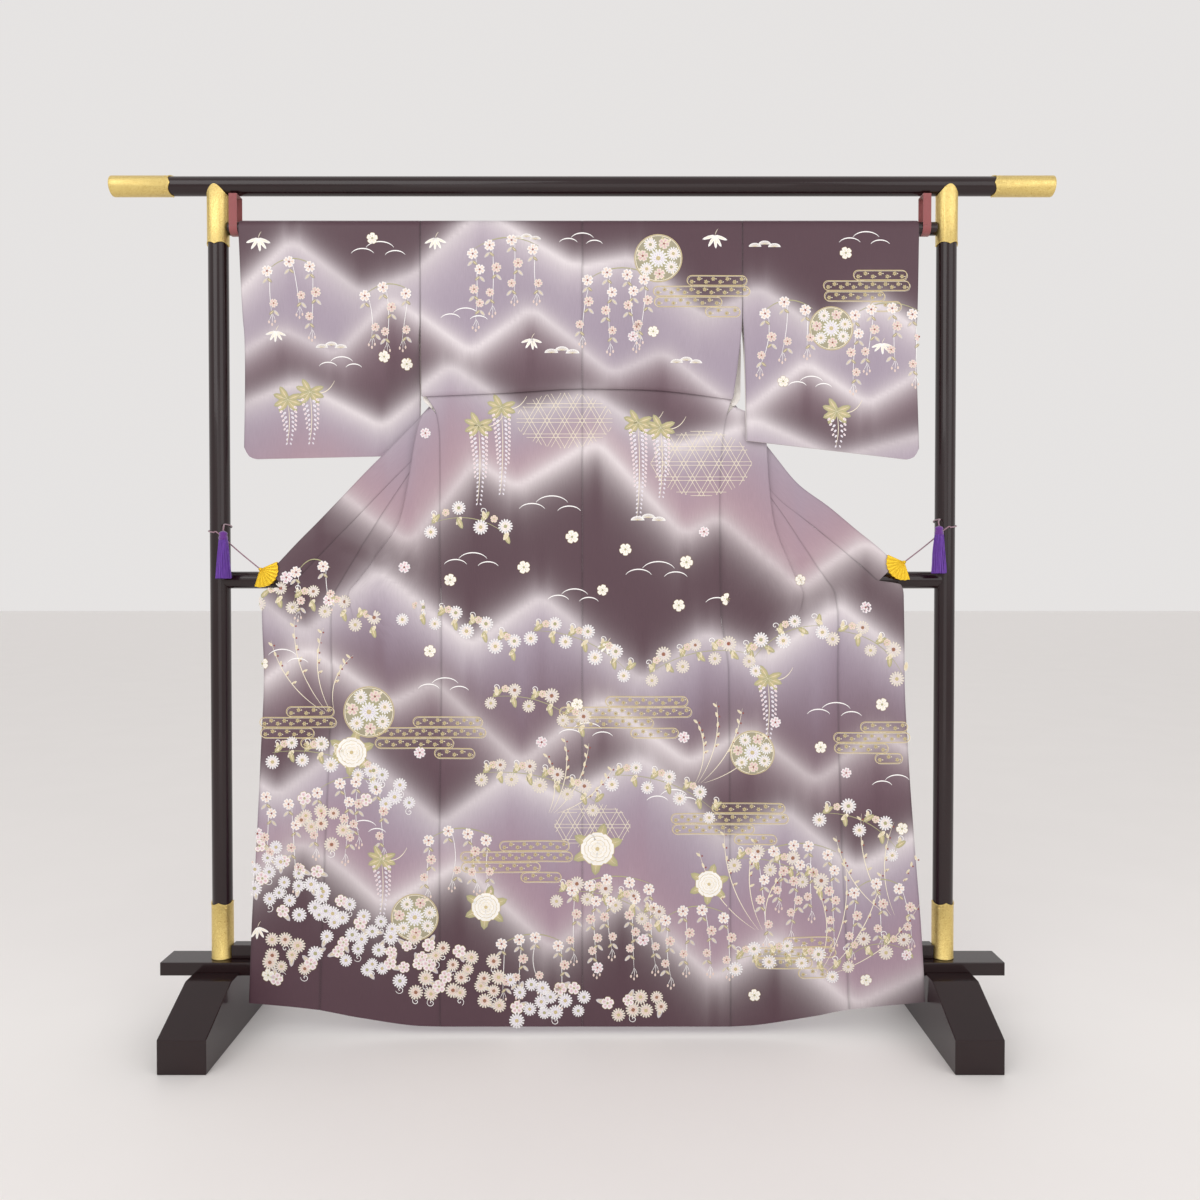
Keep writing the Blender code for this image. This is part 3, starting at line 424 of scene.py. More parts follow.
def collar_edges(side: Side) -> Grid:
    """Return the collar's seam edge and free edge, from the back neck to the clip, for x > 0."""
    x, height, turn = (COLLARS[side].column(name) for name in COLLAR_COLUMNS)
    turn = np.radians(turn)
    run_x = np.gradient(x)
    run_z = np.gradient(height)
    run_z[0] = 0
    length = np.hypot(run_x, run_z)
    reach = SIZES.collar_width * np.cos(turn) / length
    seam_x = x + reach * run_z
    seam_z = height - reach * run_x
    seam_y = DEPTHS.read("far", seam_z) + SIZES.collar_lap
    neck = ease((SIZES.neck_top - seam_z) / SIZES.neck_fade)
    seam_y = seam_y * neck + (SIZES.fold_radius + SIZES.fold_tip) * (1 - neck)
    free_y = seam_y + SIZES.collar_width * np.sin(turn)
    return np.stack([seam_x, seam_y, seam_z], axis=1), np.stack([x, free_y, height], axis=1)


def collar_seam_x(side: Side, height: Array) -> Array:
    """Return how far from the centre the collar's seam lies at heights below the neck."""
    seam = collar_edges(side)[0][2:]
    return np.interp(height, seam[::-1, 2], seam[::-1, 0])


@dataclass(frozen=True)
class Crease:
    """A soft ridge or trough in the hanging cloth, from one point of the spread garment to another."""

    start: tuple[float, float]
    end: tuple[float, float]
    height: float
    width: float
    bow: float = 0.0

    def lift(self, x: Array, z: Array) -> Array:
        """Return how far the cloth comes forward: a bell across the crease, fading at both ends."""
        run_x = self.end[0] - self.start[0]
        run_z = self.end[1] - self.start[1]
        length = math.hypot(run_x, run_z)
        along = ((x - self.start[0]) * run_x + (z - self.start[1]) * run_z) / length**2
        off = ((x - self.start[0]) * run_z - (z - self.start[1]) * run_x) / length
        inside = np.clip(along, 0, 1)
        hump = 4 * inside * (1 - inside)
        return self.height * np.exp(-(((off - self.bow * hump) / self.width) ** 2)) * hump**0.6


# The main creases: the pouches below both clips, the pulls that spread from the clips, the
# storage creases across the back, and the soft hanging waves of the skirt and the sleeves.
CREASES = (
    Crease((-0.520, 1.000), (-0.290, 0.800), 0.0040, 0.016, -0.040),
    Crease((-0.480, 0.960), (-0.300, 0.760), -0.0026, 0.013, -0.036),
    Crease((0.285, 0.800), (0.520, 0.960), 0.0042, 0.017, -0.050),
    Crease((0.300, 0.770), (0.505, 0.860), -0.0024, 0.013, -0.030),
    Crease((-0.620, 0.915), (-0.540, 0.700), 0.0032, 0.013, 0.012),
    Crease((-0.610, 0.905), (-0.480, 0.740), -0.0028, 0.010, 0.010),
    Crease((-0.600, 0.910), (-0.440, 0.830), 0.0022, 0.009, 0.006),
    Crease((0.620, 0.925), (0.570, 0.740), 0.0030, 0.012, -0.010),
    Crease((0.610, 0.915), (0.520, 0.800), -0.0026, 0.009, -0.006),
    Crease((-0.130, 0.826), (0.004, 0.829), 0.0009, 0.0022),
    Crease((0.290, 0.523), (0.400, 0.527), 0.0009, 0.0022),
    Crease((-0.270, 0.530), (-0.150, 0.534), 0.0007, 0.0022),
    Crease((0.020, 1.430), (0.200, 1.434), 0.0006, 0.0020),
    Crease((-0.160, 1.180), (-0.185, 0.300), 0.0034, 0.055, 0.012),
    Crease((-0.060, 1.100), (-0.085, 0.100), -0.0026, 0.040, 0.006),
    Crease((0.120, 1.180), (0.150, 0.200), 0.0030, 0.050, -0.010),
    Crease((0.215, 0.900), (0.235, 0.040), -0.0028, 0.034, 0.004),
    Crease((-0.360, 0.700), (-0.375, 0.030), 0.0036, 0.036, 0.006),
    Crease((-0.445, 0.720), (-0.470, 0.040), -0.0030, 0.028, 0.004),
    Crease((-0.570, 0.660), (-0.590, 0.060), 0.0032, 0.034, -0.006),
    Crease((0.370, 0.720), (0.395, 0.030), 0.0034, 0.034, -0.006),
    Crease((0.455, 0.680), (0.480, 0.050), -0.0028, 0.026, 0.004),
    Crease((0.585, 0.700), (0.610, 0.060), 0.0030, 0.032, 0.004),
    Crease((-0.440, 1.500), (-0.450, 1.180), 0.0016, 0.040, 0.006),
    Crease((-0.560, 1.480), (-0.575, 1.170), -0.0014, 0.034, 0.004),
    Crease((0.450, 1.520), (0.440, 1.180), 0.0016, 0.038, -0.006),
    Crease((0.570, 1.500), (0.585, 1.160), -0.0014, 0.030, 0.004),
    Crease((-0.240, 1.560), (-0.200, 1.300), 0.0014, 0.036, 0.004),
    Crease((0.235, 1.560), (0.190, 1.290), 0.0014, 0.034, -0.004),
    Crease((0.000, 1.545), (0.012, 1.330), -0.0010, 0.030),
)


class Lining(Enum):
    """What the inner face of a piece shows."""

    WHITE_OVER_LILAC = "lining"
    SAME_SILK = "silk"


@dataclass(frozen=True)
class Ridge:
    """A misty ridge across the garment: its peaks and hollows, and its haze."""

    points: tuple[tuple[float, float], ...]
    haze: float
    strength: float
    steepness: float = 1.48
    rounding: float = 0.014

    def distance(self, x: Array, z: Array) -> Array:
        """Return how far each point lies above the ridge, square to its slopes.

        The line is the mean of three copies set a little apart, which rounds its corners.
        """
        places = np.array([point[0] for point in self.points])
        heights = np.array([point[1] for point in self.points])
        heights = heights.mean() + (heights - heights.mean()) * self.steepness
        shift = self.rounding
        line = sum(np.interp(x + step, places, heights) for step in (-shift, 0, shift)) / 3
        ahead = np.interp(x + shift, places, heights)
        behind = np.interp(x - shift, places, heights)
        slope = (ahead - behind) / (2 * shift)
        return (z - line) / np.sqrt(1 + slope**2)


@dataclass(frozen=True)
class Dye:
    """The colours of the silk: ridges of white mist between dark and pale grounds."""

    ridges: tuple[Ridge, ...]
    grounds: tuple[tuple[Colour, Colour], ...]
    mist: Colour = (238, 230, 232)
    mist_share: float = 0.92
    mist_width: float = 0.84
    mist_tail: float = 1.5
    mist_fall: float = 1.15
    wander: float = 0.18
    open_end: float = 0.05
    lining_top: Colour = (236, 230, 224)
    lining_low: Colour = (176, 150, 186)
    lining_change: float = 0.86
    turn: float = 0.010

    def outside(self, x: Array, z: Array) -> Array:
        """Return the dyed colour of points of the spread garment, in linear light.

        Each ridge that a point lies below moves it on to the next ground, in a soft step. A
        ground goes from its first colour under the upper ridge to its second above the lower
        one. The mist is a bell across each ridge with a longer tail below it.
        """
        away = np.stack([ridge.distance(x, z) for ridge in self.ridges])
        below = 1 / (1 + np.exp(np.clip(away / self.turn, -40, 40)))
        last = len(self.ridges)
        above = np.concatenate([np.ones_like(below[:1]), below])
        share = above * np.concatenate([1 - below, np.ones_like(below[:1])])
        share = share / share.sum(axis=0)
        colour = np.zeros(x.shape + (3,))
        for layer, (upper, lower) in enumerate(self.grounds):
            over = -away[layer - 1] if layer > 0 else np.full(x.shape, self.open_end)
            under = away[layer] if layer < last else np.full(x.shape, self.open_end)
            part = ease(over / np.maximum(over + under, 0.001))[..., None]
            colour += share[layer][..., None] * (linear(upper) * (1 - part) + linear(lower) * part)
        for ridge, off in zip(self.ridges, away):
            wide = self.mist_width * np.where(off < 0, ridge.haze * self.mist_tail, ridge.haze)
            wander = 1 - self.wander + self.wander * np.sin(x * 9 + ridge.points[0][1] * 40)
            bell = np.exp(-((np.abs(off) / wide) ** self.mist_fall))
            haze = self.mist_share * ridge.strength * wander * bell
            colour += (linear(self.mist) - colour) * haze[..., None]
        return colour

    def inside(self, z: Array) -> Array:
        """Return the lining's colour: white above, lilac in the lower half."""
        low = ease((self.lining_change - z) / 0.012)[..., None]
        return linear(self.lining_top) * (1 - low) + linear(self.lining_low) * low


DARK = (82, 58, 67)
DEEP = (72, 49, 57)
PLUM = (108, 83, 94)
MAUVE = (156, 128, 142)
ROSE = (164, 134, 144)
LAVENDER = (154, 140, 156)
SILVER = (164, 150, 164)

DYE = Dye(
    ridges=(
        Ridge(
            (
                (-0.70, 1.465), (-0.575, 1.545), (-0.44, 1.475), (-0.325, 1.500), (-0.20, 1.580),
                (-0.02, 1.505), (0.10, 1.520), (0.24, 1.440), (0.35, 1.475), (0.47, 1.415),
                (0.58, 1.455), (0.70, 1.400),
            ),
            0.021, 0.86,
        ),
        Ridge(
            (
                (-0.70, 1.345), (-0.60, 1.385), (-0.49, 1.350), (-0.38, 1.425), (-0.22, 1.345),
                (-0.10, 1.405), (0.06, 1.320), (0.16, 1.350), (0.32, 1.265), (0.44, 1.330),
                (0.56, 1.275), (0.70, 1.330),
            ),
            0.020, 0.84,
        ),
        Ridge(
            (
                (-0.70, 1.240), (-0.57, 1.275), (-0.40, 1.215), (-0.26, 1.290), (-0.12, 1.225),
                (0.02, 1.255), (0.18, 1.185), (0.34, 1.215), (0.50, 1.165), (0.70, 1.200),
            ),
            0.021, 0.82,
        ),
        Ridge(
            (
                (-0.70, 0.985), (-0.52, 1.075), (-0.34, 0.985), (-0.21, 1.095), (-0.13, 1.060),
                (0.03, 1.125), (0.20, 1.000), (0.27, 1.025), (0.43, 0.930), (0.56, 0.990),
                (0.70, 0.930),
            ),
            0.024, 0.86,
        ),
        Ridge(
            (
                (-0.70, 0.880), (-0.55, 0.800), (-0.40, 0.880), (-0.22, 0.780), (-0.08, 0.845),
                (0.12, 0.735), (0.24, 0.800), (0.36, 0.765), (0.50, 0.835), (0.70, 0.730),
            ),
            0.025, 0.84,
        ),
        Ridge(
            (
                (-0.70, 0.640), (-0.54, 0.720), (-0.38, 0.640), (-0.29, 0.670), (-0.12, 0.560),
                (0.04, 0.650), (0.21, 0.565), (0.33, 0.610), (0.46, 0.540), (0.58, 0.600),
                (0.70, 0.560),
            ),
            0.024, 0.84,
        ),
        Ridge(
            (
                (-0.70, 0.520), (-0.60, 0.475), (-0.46, 0.545), (-0.28, 0.430), (-0.14, 0.500),
                (-0.04, 0.465), (0.12, 0.525), (0.28, 0.410), (0.40, 0.455), (0.54, 0.370),
                (0.70, 0.430),
            ),
            0.025, 0.82,
        ),
        Ridge(
            (
                (-0.70, 0.265), (-0.55, 0.335), (-0.39, 0.245), (-0.24, 0.300), (-0.06, 0.185),
                (0.08, 0.260), (0.26, 0.150), (0.38, 0.205), (0.54, 0.110), (0.70, 0.160),
            ),
            0.027, 0.84,
        ),
    ),
    grounds=(
        (DARK, DARK),
        (SILVER, LAVENDER),
        (PLUM, DARK),
        (LAVENDER, ROSE),
        (DARK, DARK),
        (LAVENDER, PLUM),
        (PLUM, DARK),
        (LAVENDER, MAUVE),
        (DEEP, DARK),
    ),
)


class Paint:
    """A material's node tree, with short calls for the nodes that the finishes share."""

    def __init__(self, name: str, roughness: float, metallic: float = 0.0) -> None:
        """Start a material with one Principled shader.

        Args:
            name: the material's name.
            roughness: the shader's roughness.
            metallic: the shader's metallic value.
        """
        self.material = bpy.data.materials.new(name)
        self.material.use_nodes = True
        self.tree = self.material.node_tree
        self.shader = self.tree.nodes["Principled BSDF"]
        self.set("Roughness", roughness)
        self.set("Metallic", metallic)

    def set(self, socket: str, value: float | tuple) -> None:
        """Set a constant on one of the shader's own sockets."""
        self.shader.inputs[socket].default_value = value

    def node(self, kind: str, **settings: object) -> bpy.types.Node:
        """Add a node with its settings."""
        made = self.tree.nodes.new(kind)
        for name, value in settings.items():
            setattr(made, name, value)
        return made

    def join(self, source: bpy.types.NodeSocket, target: bpy.types.NodeSocket) -> None:
        """Link an output to an input."""
        self.tree.links.new(target, source)

    def place(self, kind: str, scale: Place) -> bpy.types.NodeSocket:
        """Return coordinates of one kind, Object or UV, scaled along each axis."""
        here = self.node("ShaderNodeTexCoord")
        mapping = self.node("ShaderNodeMapping")
        mapping.inputs["Scale"].default_value = scale
        self.join(here.outputs[kind], mapping.inputs["Vector"])
        return mapping.outputs["Vector"]

    def noise(self, at: bpy.types.NodeSocket, scale: float, detail: float = 3.0) -> bpy.types.NodeSocket:
        """Return a noise's value."""
        made = self.node("ShaderNodeTexNoise")
        made.inputs["Scale"].default_value = scale
        made.inputs["Detail"].default_value = detail
        self.join(at, made.inputs["Vector"])
        return made.outputs["Fac"]

    def wave(self, at: bpy.types.NodeSocket, scale: float, axis: str) -> bpy.types.NodeSocket:
        """Return an even wave of bands along one axis."""
        made = self.node("ShaderNodeTexWave", wave_type="BANDS", bands_direction=axis)
        made.inputs["Scale"].default_value = scale
        self.join(at, made.inputs["Vector"])
        return made.outputs["Fac"]

    def spread(self, value: bpy.types.NodeSocket, low: float, high: float) -> bpy.types.NodeSocket:
        """Map a value from 0 to 1 on to the range from low to high."""
        made = self.node("ShaderNodeMapRange")
        made.inputs["To Min"].default_value = low
        made.inputs["To Max"].default_value = high
        self.join(value, made.inputs["Value"])
        return made.outputs["Result"]

    def shade(self, colour: bpy.types.NodeSocket, value: bpy.types.NodeSocket) -> None:
        """Set the base colour to a colour made lighter or darker by a value."""
        made = self.node("ShaderNodeVectorMath", operation="SCALE")
        self.join(colour, made.inputs[0])
        self.join(value, made.inputs["Scale"])
        self.join(made.outputs["Vector"], self.shader.inputs["Base Color"])

    def blend(self, value: bpy.types.NodeSocket, first: Colour, second: Colour) -> bpy.types.NodeSocket:
        """Return a colour between two colours, given as the eye sees them."""
        made = self.node("ShaderNodeMix", data_type="RGBA")
        made.inputs["A"].default_value = (*linear(first), 1)
        made.inputs["B"].default_value = (*linear(second), 1)
        self.join(value, made.inputs["Factor"])
        return made.outputs["Result"]

    def bump(self, *heights: tuple[bpy.types.NodeSocket, float, float]) -> None:
        """Chain bumps, each a height with its strength and its distance in metres."""
        before = None
        for height, strength, distance in heights:
            made = self.node("ShaderNodeBump")
            made.inputs["Strength"].default_value = strength
            made.inputs["Distance"].default_value = distance
            self.join(height, made.inputs["Height"])
            if before is not None:
                self.join(before, made.inputs["Normal"])
            before = made.outputs["Normal"]
        self.join(before, self.shader.inputs["Normal"])


@dataclass(frozen=True)
class SilkFinish:
    """Dyed silk: its colour comes from the cloth's own points, with a fine upright weave."""

    name: str
    roughness: float = 0.46
    sheen: float = 0.14
    warp: float = 950.0
    slub: float = 46.0

    def make(self) -> bpy.types.Material:
        """Build the material."""
        paint = Paint(self.name, self.roughness)
        paint.set("Sheen Weight", self.sheen)
        paint.set("Sheen Roughness", 0.38)
        paint.set("Sheen Tint", (0.93, 0.88, 0.95, 1))
        paint.set("Specular IOR Level", 0.42)
        dye = paint.node("ShaderNodeAttribute", attribute_name="dye")
        threads = paint.noise(paint.place("UV", (self.warp, self.slub, 1)), 1.0, 2.0)
        cloudy = paint.noise(paint.place("UV", (9, 5, 1)), 1.0, 3.0)
        weft = paint.wave(paint.place("UV", (1, 1, 1)), 420.0, "Y")
        both = paint.node("ShaderNodeMath", operation="MULTIPLY")
        paint.join(paint.spread(threads, 0.90, 1.10), both.inputs[0])
        paint.join(paint.spread(cloudy, 0.95, 1.05), both.inputs[1])
        paint.shade(dye.outputs["Color"], both.outputs["Value"])
        paint.bump((threads, 0.35, 0.0004), (weft, 0.12, 0.0002), (cloudy, 0.25, 0.0020))
        return paint.material


@dataclass
class ClothPiece:
    """A cut piece of the garment: a refined surface of its tables, creased, with a wall.

    Its dyed design stands a little off its neighbours', as sewing leaves it, and its outer face
    is darkened with painted shade along its long edges, where the cloth rolls in to a seam.
    """

    side: Side
    outer: Array = field(init=False)
    normal: Array = field(init=False)

    name = "cloth"
    dye_step = 0.0
    lining = Lining.WHITE_OVER_LILAC
    outer_way = 1

    def control(self) -> Array:
        """Return the piece's grid of control points, rows by columns by three."""
        raise NotImplementedError

    @property
    def title(self) -> str:
        """Return the piece's name with its side."""
        return f"{self.name}_{self.side.label}"

    @staticmethod
    def stations(lengths: Array, cell: float) -> Array:
        """Return places that keep every control line, with even steps of a cell between them."""
        marks = np.concatenate([[0], np.cumsum(lengths)])
        counts = np.maximum(1, np.round(lengths / cell)).astype(int)
        spans = zip(marks, counts, lengths)
        inner = [mark + np.linspace(0, 1, count, endpoint=False) * length for mark, count, length in spans]
        edge = np.array(SIZES.edge_lines)
        extra = np.concatenate([edge, marks[-1] - edge])
        return np.unique(np.round(np.concatenate([*inner, extra, marks[-1:]]), 6))

    def surface(self) -> tuple[Array, Array]:
        """Refine and crease the control grid.

        The creases fade towards the pole and round both clips.

        Returns:
            The middle surface, rows by columns by three, and its flat places in metres, rows by
            columns by two, the first across the cloth and the second along it.
        """
        grid = self.control()
        along = np.linalg.norm(np.diff(grid, axis=0), axis=2).mean(axis=1)
        across = np.linalg.norm(np.diff(grid, axis=1), axis=2).mean(axis=0)
        rows = self.stations(along, SIZES.cell)
        columns = self.stations(across, SIZES.cell)
        marks = np.concatenate([[0], np.cumsum(along)])
        grid = smooth_between(marks, grid, rows)
        marks = np.concatenate([[0], np.cumsum(across)])
        grid = smooth_between(marks, grid.transpose(1, 0, 2), columns).transpose(1, 0, 2)
        flat = np.stack(np.meshgrid(columns, rows), axis=2)
        hang = ease((SIZES.crease_top - grid[..., 2]) / SIZES.crease_fade)
        away = np.hypot(np.abs(grid[..., 0]) - SIZES.clip_x, grid[..., 2] - SIZES.clip_height)
        held = ease((away - SIZES.clip_calm) / SIZES.clip_fade)
        for crease in CREASES:
            grid[..., 1] -= crease.lift(grid[..., 0], grid[..., 2]) * hang * held
        return grid, flat

    def build(self, finishes: dict[str, bpy.types.Material]) -> bpy.types.Object:
        """Make the wall: the outer face, the lining and the rim, thinner at the sewn edges."""
        middle, flat = self.surface()
        down = np.gradient(middle, axis=0)
        across = np.gradient(middle, axis=1)
        normal = np.cross(down, across) * self.outer_way * self.side.value
        normal /= np.linalg.norm(normal, axis=2, keepdims=True)
        edge = np.minimum(flat[..., 0], flat[..., 0].max() - flat[..., 0])
        thinned = SIZES.edge_thinning * np.exp(-edge / SIZES.edge_reach)
        half = SIZES.wall / 2 * (1 - thinned)[..., None]
        self.outer = middle + normal * half
        self.normal = normal
        inner = middle - normal * half
        rows, columns = edge.shape
        index = np.arange(rows * columns).reshape(rows, columns)
        quads = np.stack([index[:-1, :-1], index[1:, :-1], index[1:, 1:], index[:-1, 1:]], axis=2)
        quads = quads.reshape(-1, 4)
        rim = np.concatenate([index[0, :-1], index[:-1, -1], index[-1, :0:-1], index[:0:-1, 0]])
        ahead = np.roll(rim, -1)
        total = rows * columns
        rim_quads = np.stack([rim, ahead, ahead + total, rim + total], axis=1)
        if self.outer_way * self.side.value < 0:
            quads = quads[:, ::-1]
            rim_quads = rim_quads[:, ::-1]
        faces = np.concatenate([quads, quads[:, ::-1] + total, rim_quads])
        slots = np.zeros(len(faces), dtype=np.int32)
        slots[len(quads) : 2 * len(quads)] = 1
        points = np.concatenate([self.outer.reshape(-1, 3), inner.reshape(-1, 3)])
        x, z = points[:, 0], points[:, 2]
        colours = DYE.outside(x, z + self.dye_step * self.side.value)
        # Painted shade: the outer face's colour is darkened along the long edges, as the shadow where the
        # cloth rolls in to a seam.
        seam_shadow = SIZES.painted_seam_shade * np.exp(-((edge.reshape(-1, 1) / SIZES.painted_shade_width) ** 2))
        colours[:total] *= 1 - seam_shadow
        if self.lining is Lining.WHITE_OVER_LILAC:
            colours[total:] = DYE.inside(z[total:])
        flats = np.concatenate([flat.reshape(-1, 2)] * 2)
        materials = [finishes["silk"], finishes[self.lining.value]]
        piece = mesh_piece(self.title + "_silk", points, faces, materials, slots, flats, colours)
        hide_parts(self.title)
        return piece


def mesh_piece(
    name: str,
    points: Array,
    faces: Array,
    materials: list[bpy.types.Material],
    slots: Array | None = None,
    flats: Array | None = None,
    colours: Array | None = None,
    sharp: float = 50.0,
) -> bpy.types.Object:
    """Turn arrays into an object that rides on the part.

    Args:
        name: the object's name.
        points: its vertices.
        faces: corners of each face, all with the same count.
        materials: its finishes.
        slots: which finish each face has.
        flats: a flat place for each vertex, kept as its UV map.
        colours: a linear colour for each vertex, kept as its attribute dye.
        sharp: the angle in degrees from which an edge stays sharp.

    Returns:
        The object.
    """
    mesh = bpy.data.meshes.new(name)
    mesh.from_pydata(points.tolist(), [], faces.tolist())
    for finish in materials:
        mesh.materials.append(finish)
    if slots is not None:
        mesh.polygons.foreach_set("material_index", slots.astype(np.int32))
    if flats is not None:
        corners = np.zeros(len(mesh.loops), dtype=np.int32)
        mesh.loops.foreach_get("vertex_index", corners)
        mesh.uv_layers.new(name="flat").uv.foreach_set("vector", flats[corners].astype(np.float32).ravel())
    if colours is not None:
        made = mesh.color_attributes.new("dye", "FLOAT_COLOR", "POINT")
        full = np.concatenate([colours, np.ones((len(colours), 1))], axis=1)
        made.data.foreach_set("color", full.astype(np.float32).ravel())
    mesh.shade_smooth()
    mesh.set_sharp_from_angle(angle=math.radians(sharp))
    item = bpy.data.objects.new(name, mesh)
    bpy.context.collection.objects.link(item)
    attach(item, "root")
    return item


def over_pole(section: Array, degrees: tuple[float, ...]) -> Array:
    """Return copies of a section on the half turn over the pole, each at its angle from the near side."""
    turn = np.radians(degrees)[:, None]
    ring = np.repeat(section[None], len(turn), axis=0)
    ring[..., 1] = -SIZES.fold_radius * np.cos(turn)
    ring[..., 2] = SIZES.pole_height + SIZES.fold_radius * np.sin(turn)
    return ring


class BodyPanel(ClothPiece):
    """A body panel, cut in one length from the back hem over the pole to the front hem."""

    name = "body"
    dye_step = 0.003
    pleat_top = 1.262
    pleat_ease = 0.035
    side_open = 1.30
    tuck_level = 1.270
    tuck_plane = 1.29

    def front(self, level: Array) -> Array:
        """Return a front's sections, from the side seam through both pleats to its seam.

        The knots run in the near plane to the outward pleat edge, back under it to the inward
        pleat edge, and out again in the far plane. Away from the pleats they all ease into one
        plane.
        """
        table = FRONTS[self.side]
        start, out, inward = (table.read(name, level) for name in FRONT_COLUMNS[1:4])
        near = DEPTHS.read("near", level)
        far = DEPTHS.read("far", level)
        sewn = table.only("height", 0, SIZES.overlap_tip).read("overlap_seam", level)
        collared = collar_seam_x(self.side, level) - SIZES.seam_gap
        edge = np.where(level >= SIZES.overlap_tip, collared, sewn - SIZES.seam_gap / 2)
        pleated = ease((SIZES.pleat_start - level) / SIZES.pleat_start_ease)
        pleated = pleated * ease((level - SIZES.pleat_end) / SIZES.pleat_end_ease)
        joined = ease((self.side_open - level) / (self.side_open - SIZES.side_seam_top))
        turned = pleated * ease((self.pleat_top - level) / self.pleat_ease)
        middle = far - SIZES.pleat_gap * pleated
        side_y = middle * (1 - joined) + near * joined
        out_y = middle * (1 - turned) + near * turned
        out_back = out_y + SIZES.pleat_gap * turned
        calm = ease((SIZES.pleat_end + SIZES.pleat_end_ease - level) / SIZES.pleat_end_ease)
        out_y = out_y * (1 - calm) + (near * 0.7 + far * 0.3) * calm
        out_back = out_back * (1 - calm) + (near * 0.6 + far * 0.4) * calm
        middle = middle * (1 - calm) + (near * 0.3 + far * 0.7) * calm
        start = start + SIZES.seam_gap / 2
        tip = SIZES.fold_tip
        back = np.sign(inward - out)
        onward = np.sign(edge - inward)
        knots = (
            (start, side_y),
            ((start + out) / 2, (side_y + out_y) / 2),
            (out - np.sign(out - start) * tip, out_y),
            (out, (out_y + out_back) / 2),
            (out + back * tip, out_back),
            ((out + inward) / 2, (out_back + middle) / 2),
            (inward - back * tip, middle),
            (inward, (middle + far) / 2),
            (inward + onward * tip, far),
            (inward + (edge - inward) * 0.35, far),
            (inward + (edge - inward) * 0.70, far),
            (edge, far),
        )
        x = np.stack([knot[0] for knot in knots], axis=1) * self.side.value
        y = np.stack([knot[1] for knot in knots], axis=1)
        return np.stack([x, y, np.broadcast_to(level[:, None], x.shape)], axis=2)

    def back(self) -> Array:
        """Return the back's sections, from the hem through the tuck to the top of the pole."""
        low = np.array([0.017, 0.08, 0.2, 0.37, 0.55, 0.72, 0.79, 0.83, 0.943, 1.02, 1.1, 1.18, 1.225])
        tip = SIZES.tuck_tip
        deep = SIZES.tuck_depth
        rise = np.array([deep - tip, deep, deep - tip, tip, 0, tip])
        layers = np.array([0, 0.5, 1, 1, 1.5, 2])
        high = np.array([1.330, 1.415, 1.500, 1.560, SIZES.pole_height])
        level = np.concatenate([low, self.tuck_level + rise, high])
        inner = DEPTHS.read("near", self.tuck_plane) - SIZES.pleat_gap * layers
        depth = [DEPTHS.read("near", low), inner, UPPER_BACK.read("depth", high)]
        depth = np.concatenate(depth)[:, None]
        across = np.linspace(1, 0, 12)
        edge = FRONTS[self.side].read("side", level) - SIZES.seam_gap / 2
        edge = (edge - BACK_INSET.read(self.side.label, level))[:, None]
        x = self.side.value * (SIZES.seam_gap / 2 + across * (edge - SIZES.seam_gap / 2))
        z = np.broadcast_to(level[:, None], x.shape).copy()
        tucked = slice(len(low), len(low) + len(rise))
        line = TUCK.read("height", x[len(low) - 1], "x")
        z[tucked] = line + rise[:, None]
        return np.stack([x, np.broadcast_to(depth, x.shape), z], axis=2)

    def control(self) -> Array:
        """Return the back, the half turn over the pole and the front, with the hem's line."""
        back = self.back()
        ring = over_pole(back[-1], (30, 60, 90, 120, 150))
        front = self.front(FRONTS[self.side].column("height"))
        front[0, :, 1] = SIZES.fold_radius
        return lift_hem(np.concatenate([back, ring, front]))


class OverlapPanel(ClothPiece):
    """The narrow panel between a front and the collar, from its tip to the hem."""

    name = "overlap"
    dye_step = -0.005

    def control(self) -> Array:
        """Return sections from the panel's seam to the collar or the outer edge."""
        table = FRONTS[self.side]
        tip = SIZES.overlap_tip
        seam_end = collar_edges(self.side)[0][-1, 2]
        level = table.column("height")
        extra = (tip - 0.015, 1.140, 1.060, seam_end + 0.004, seam_end - 0.006)
        level = np.unique(np.concatenate([level[level < tip], extra]))[::-1]
        start = table.only("height", 0, tip).read("overlap_seam", level) + SIZES.seam_gap / 2
        collared = collar_seam_x(self.side, level) - SIZES.seam_gap
        free = table.only("outer", 0.01, 1).read("outer", level)
        edge = np.where(level > seam_end, collared, free)
        x = start[:, None] + (edge - start)[:, None] * np.linspace(0, 1, 5)
        y = np.broadcast_to(DEPTHS.read("far", level)[:, None], x.shape)
        z = np.broadcast_to(level[:, None], x.shape)
        return lift_hem(np.stack([x * self.side.value, y, z], axis=2))


class CollarHalf(ClothPiece):
    """Half of the collar, a band from the centre of the back neck to the clip."""

    name = "collar"
    lining = Lining.SAME_SILK

    def control(self) -> Array:
        """Return the band's sections from its seam to its free edge."""
        seam, free = collar_edges(self.side)
        seam[0, 0] = free[0, 0] = SIZES.seam_gap / 2
        parts = np.linspace(0, 1, 4)[None, :, None]
        grid = seam[:, None, :] * (1 - parts) + free[:, None, :] * parts
        return grid * (self.side.value, 1, 1)


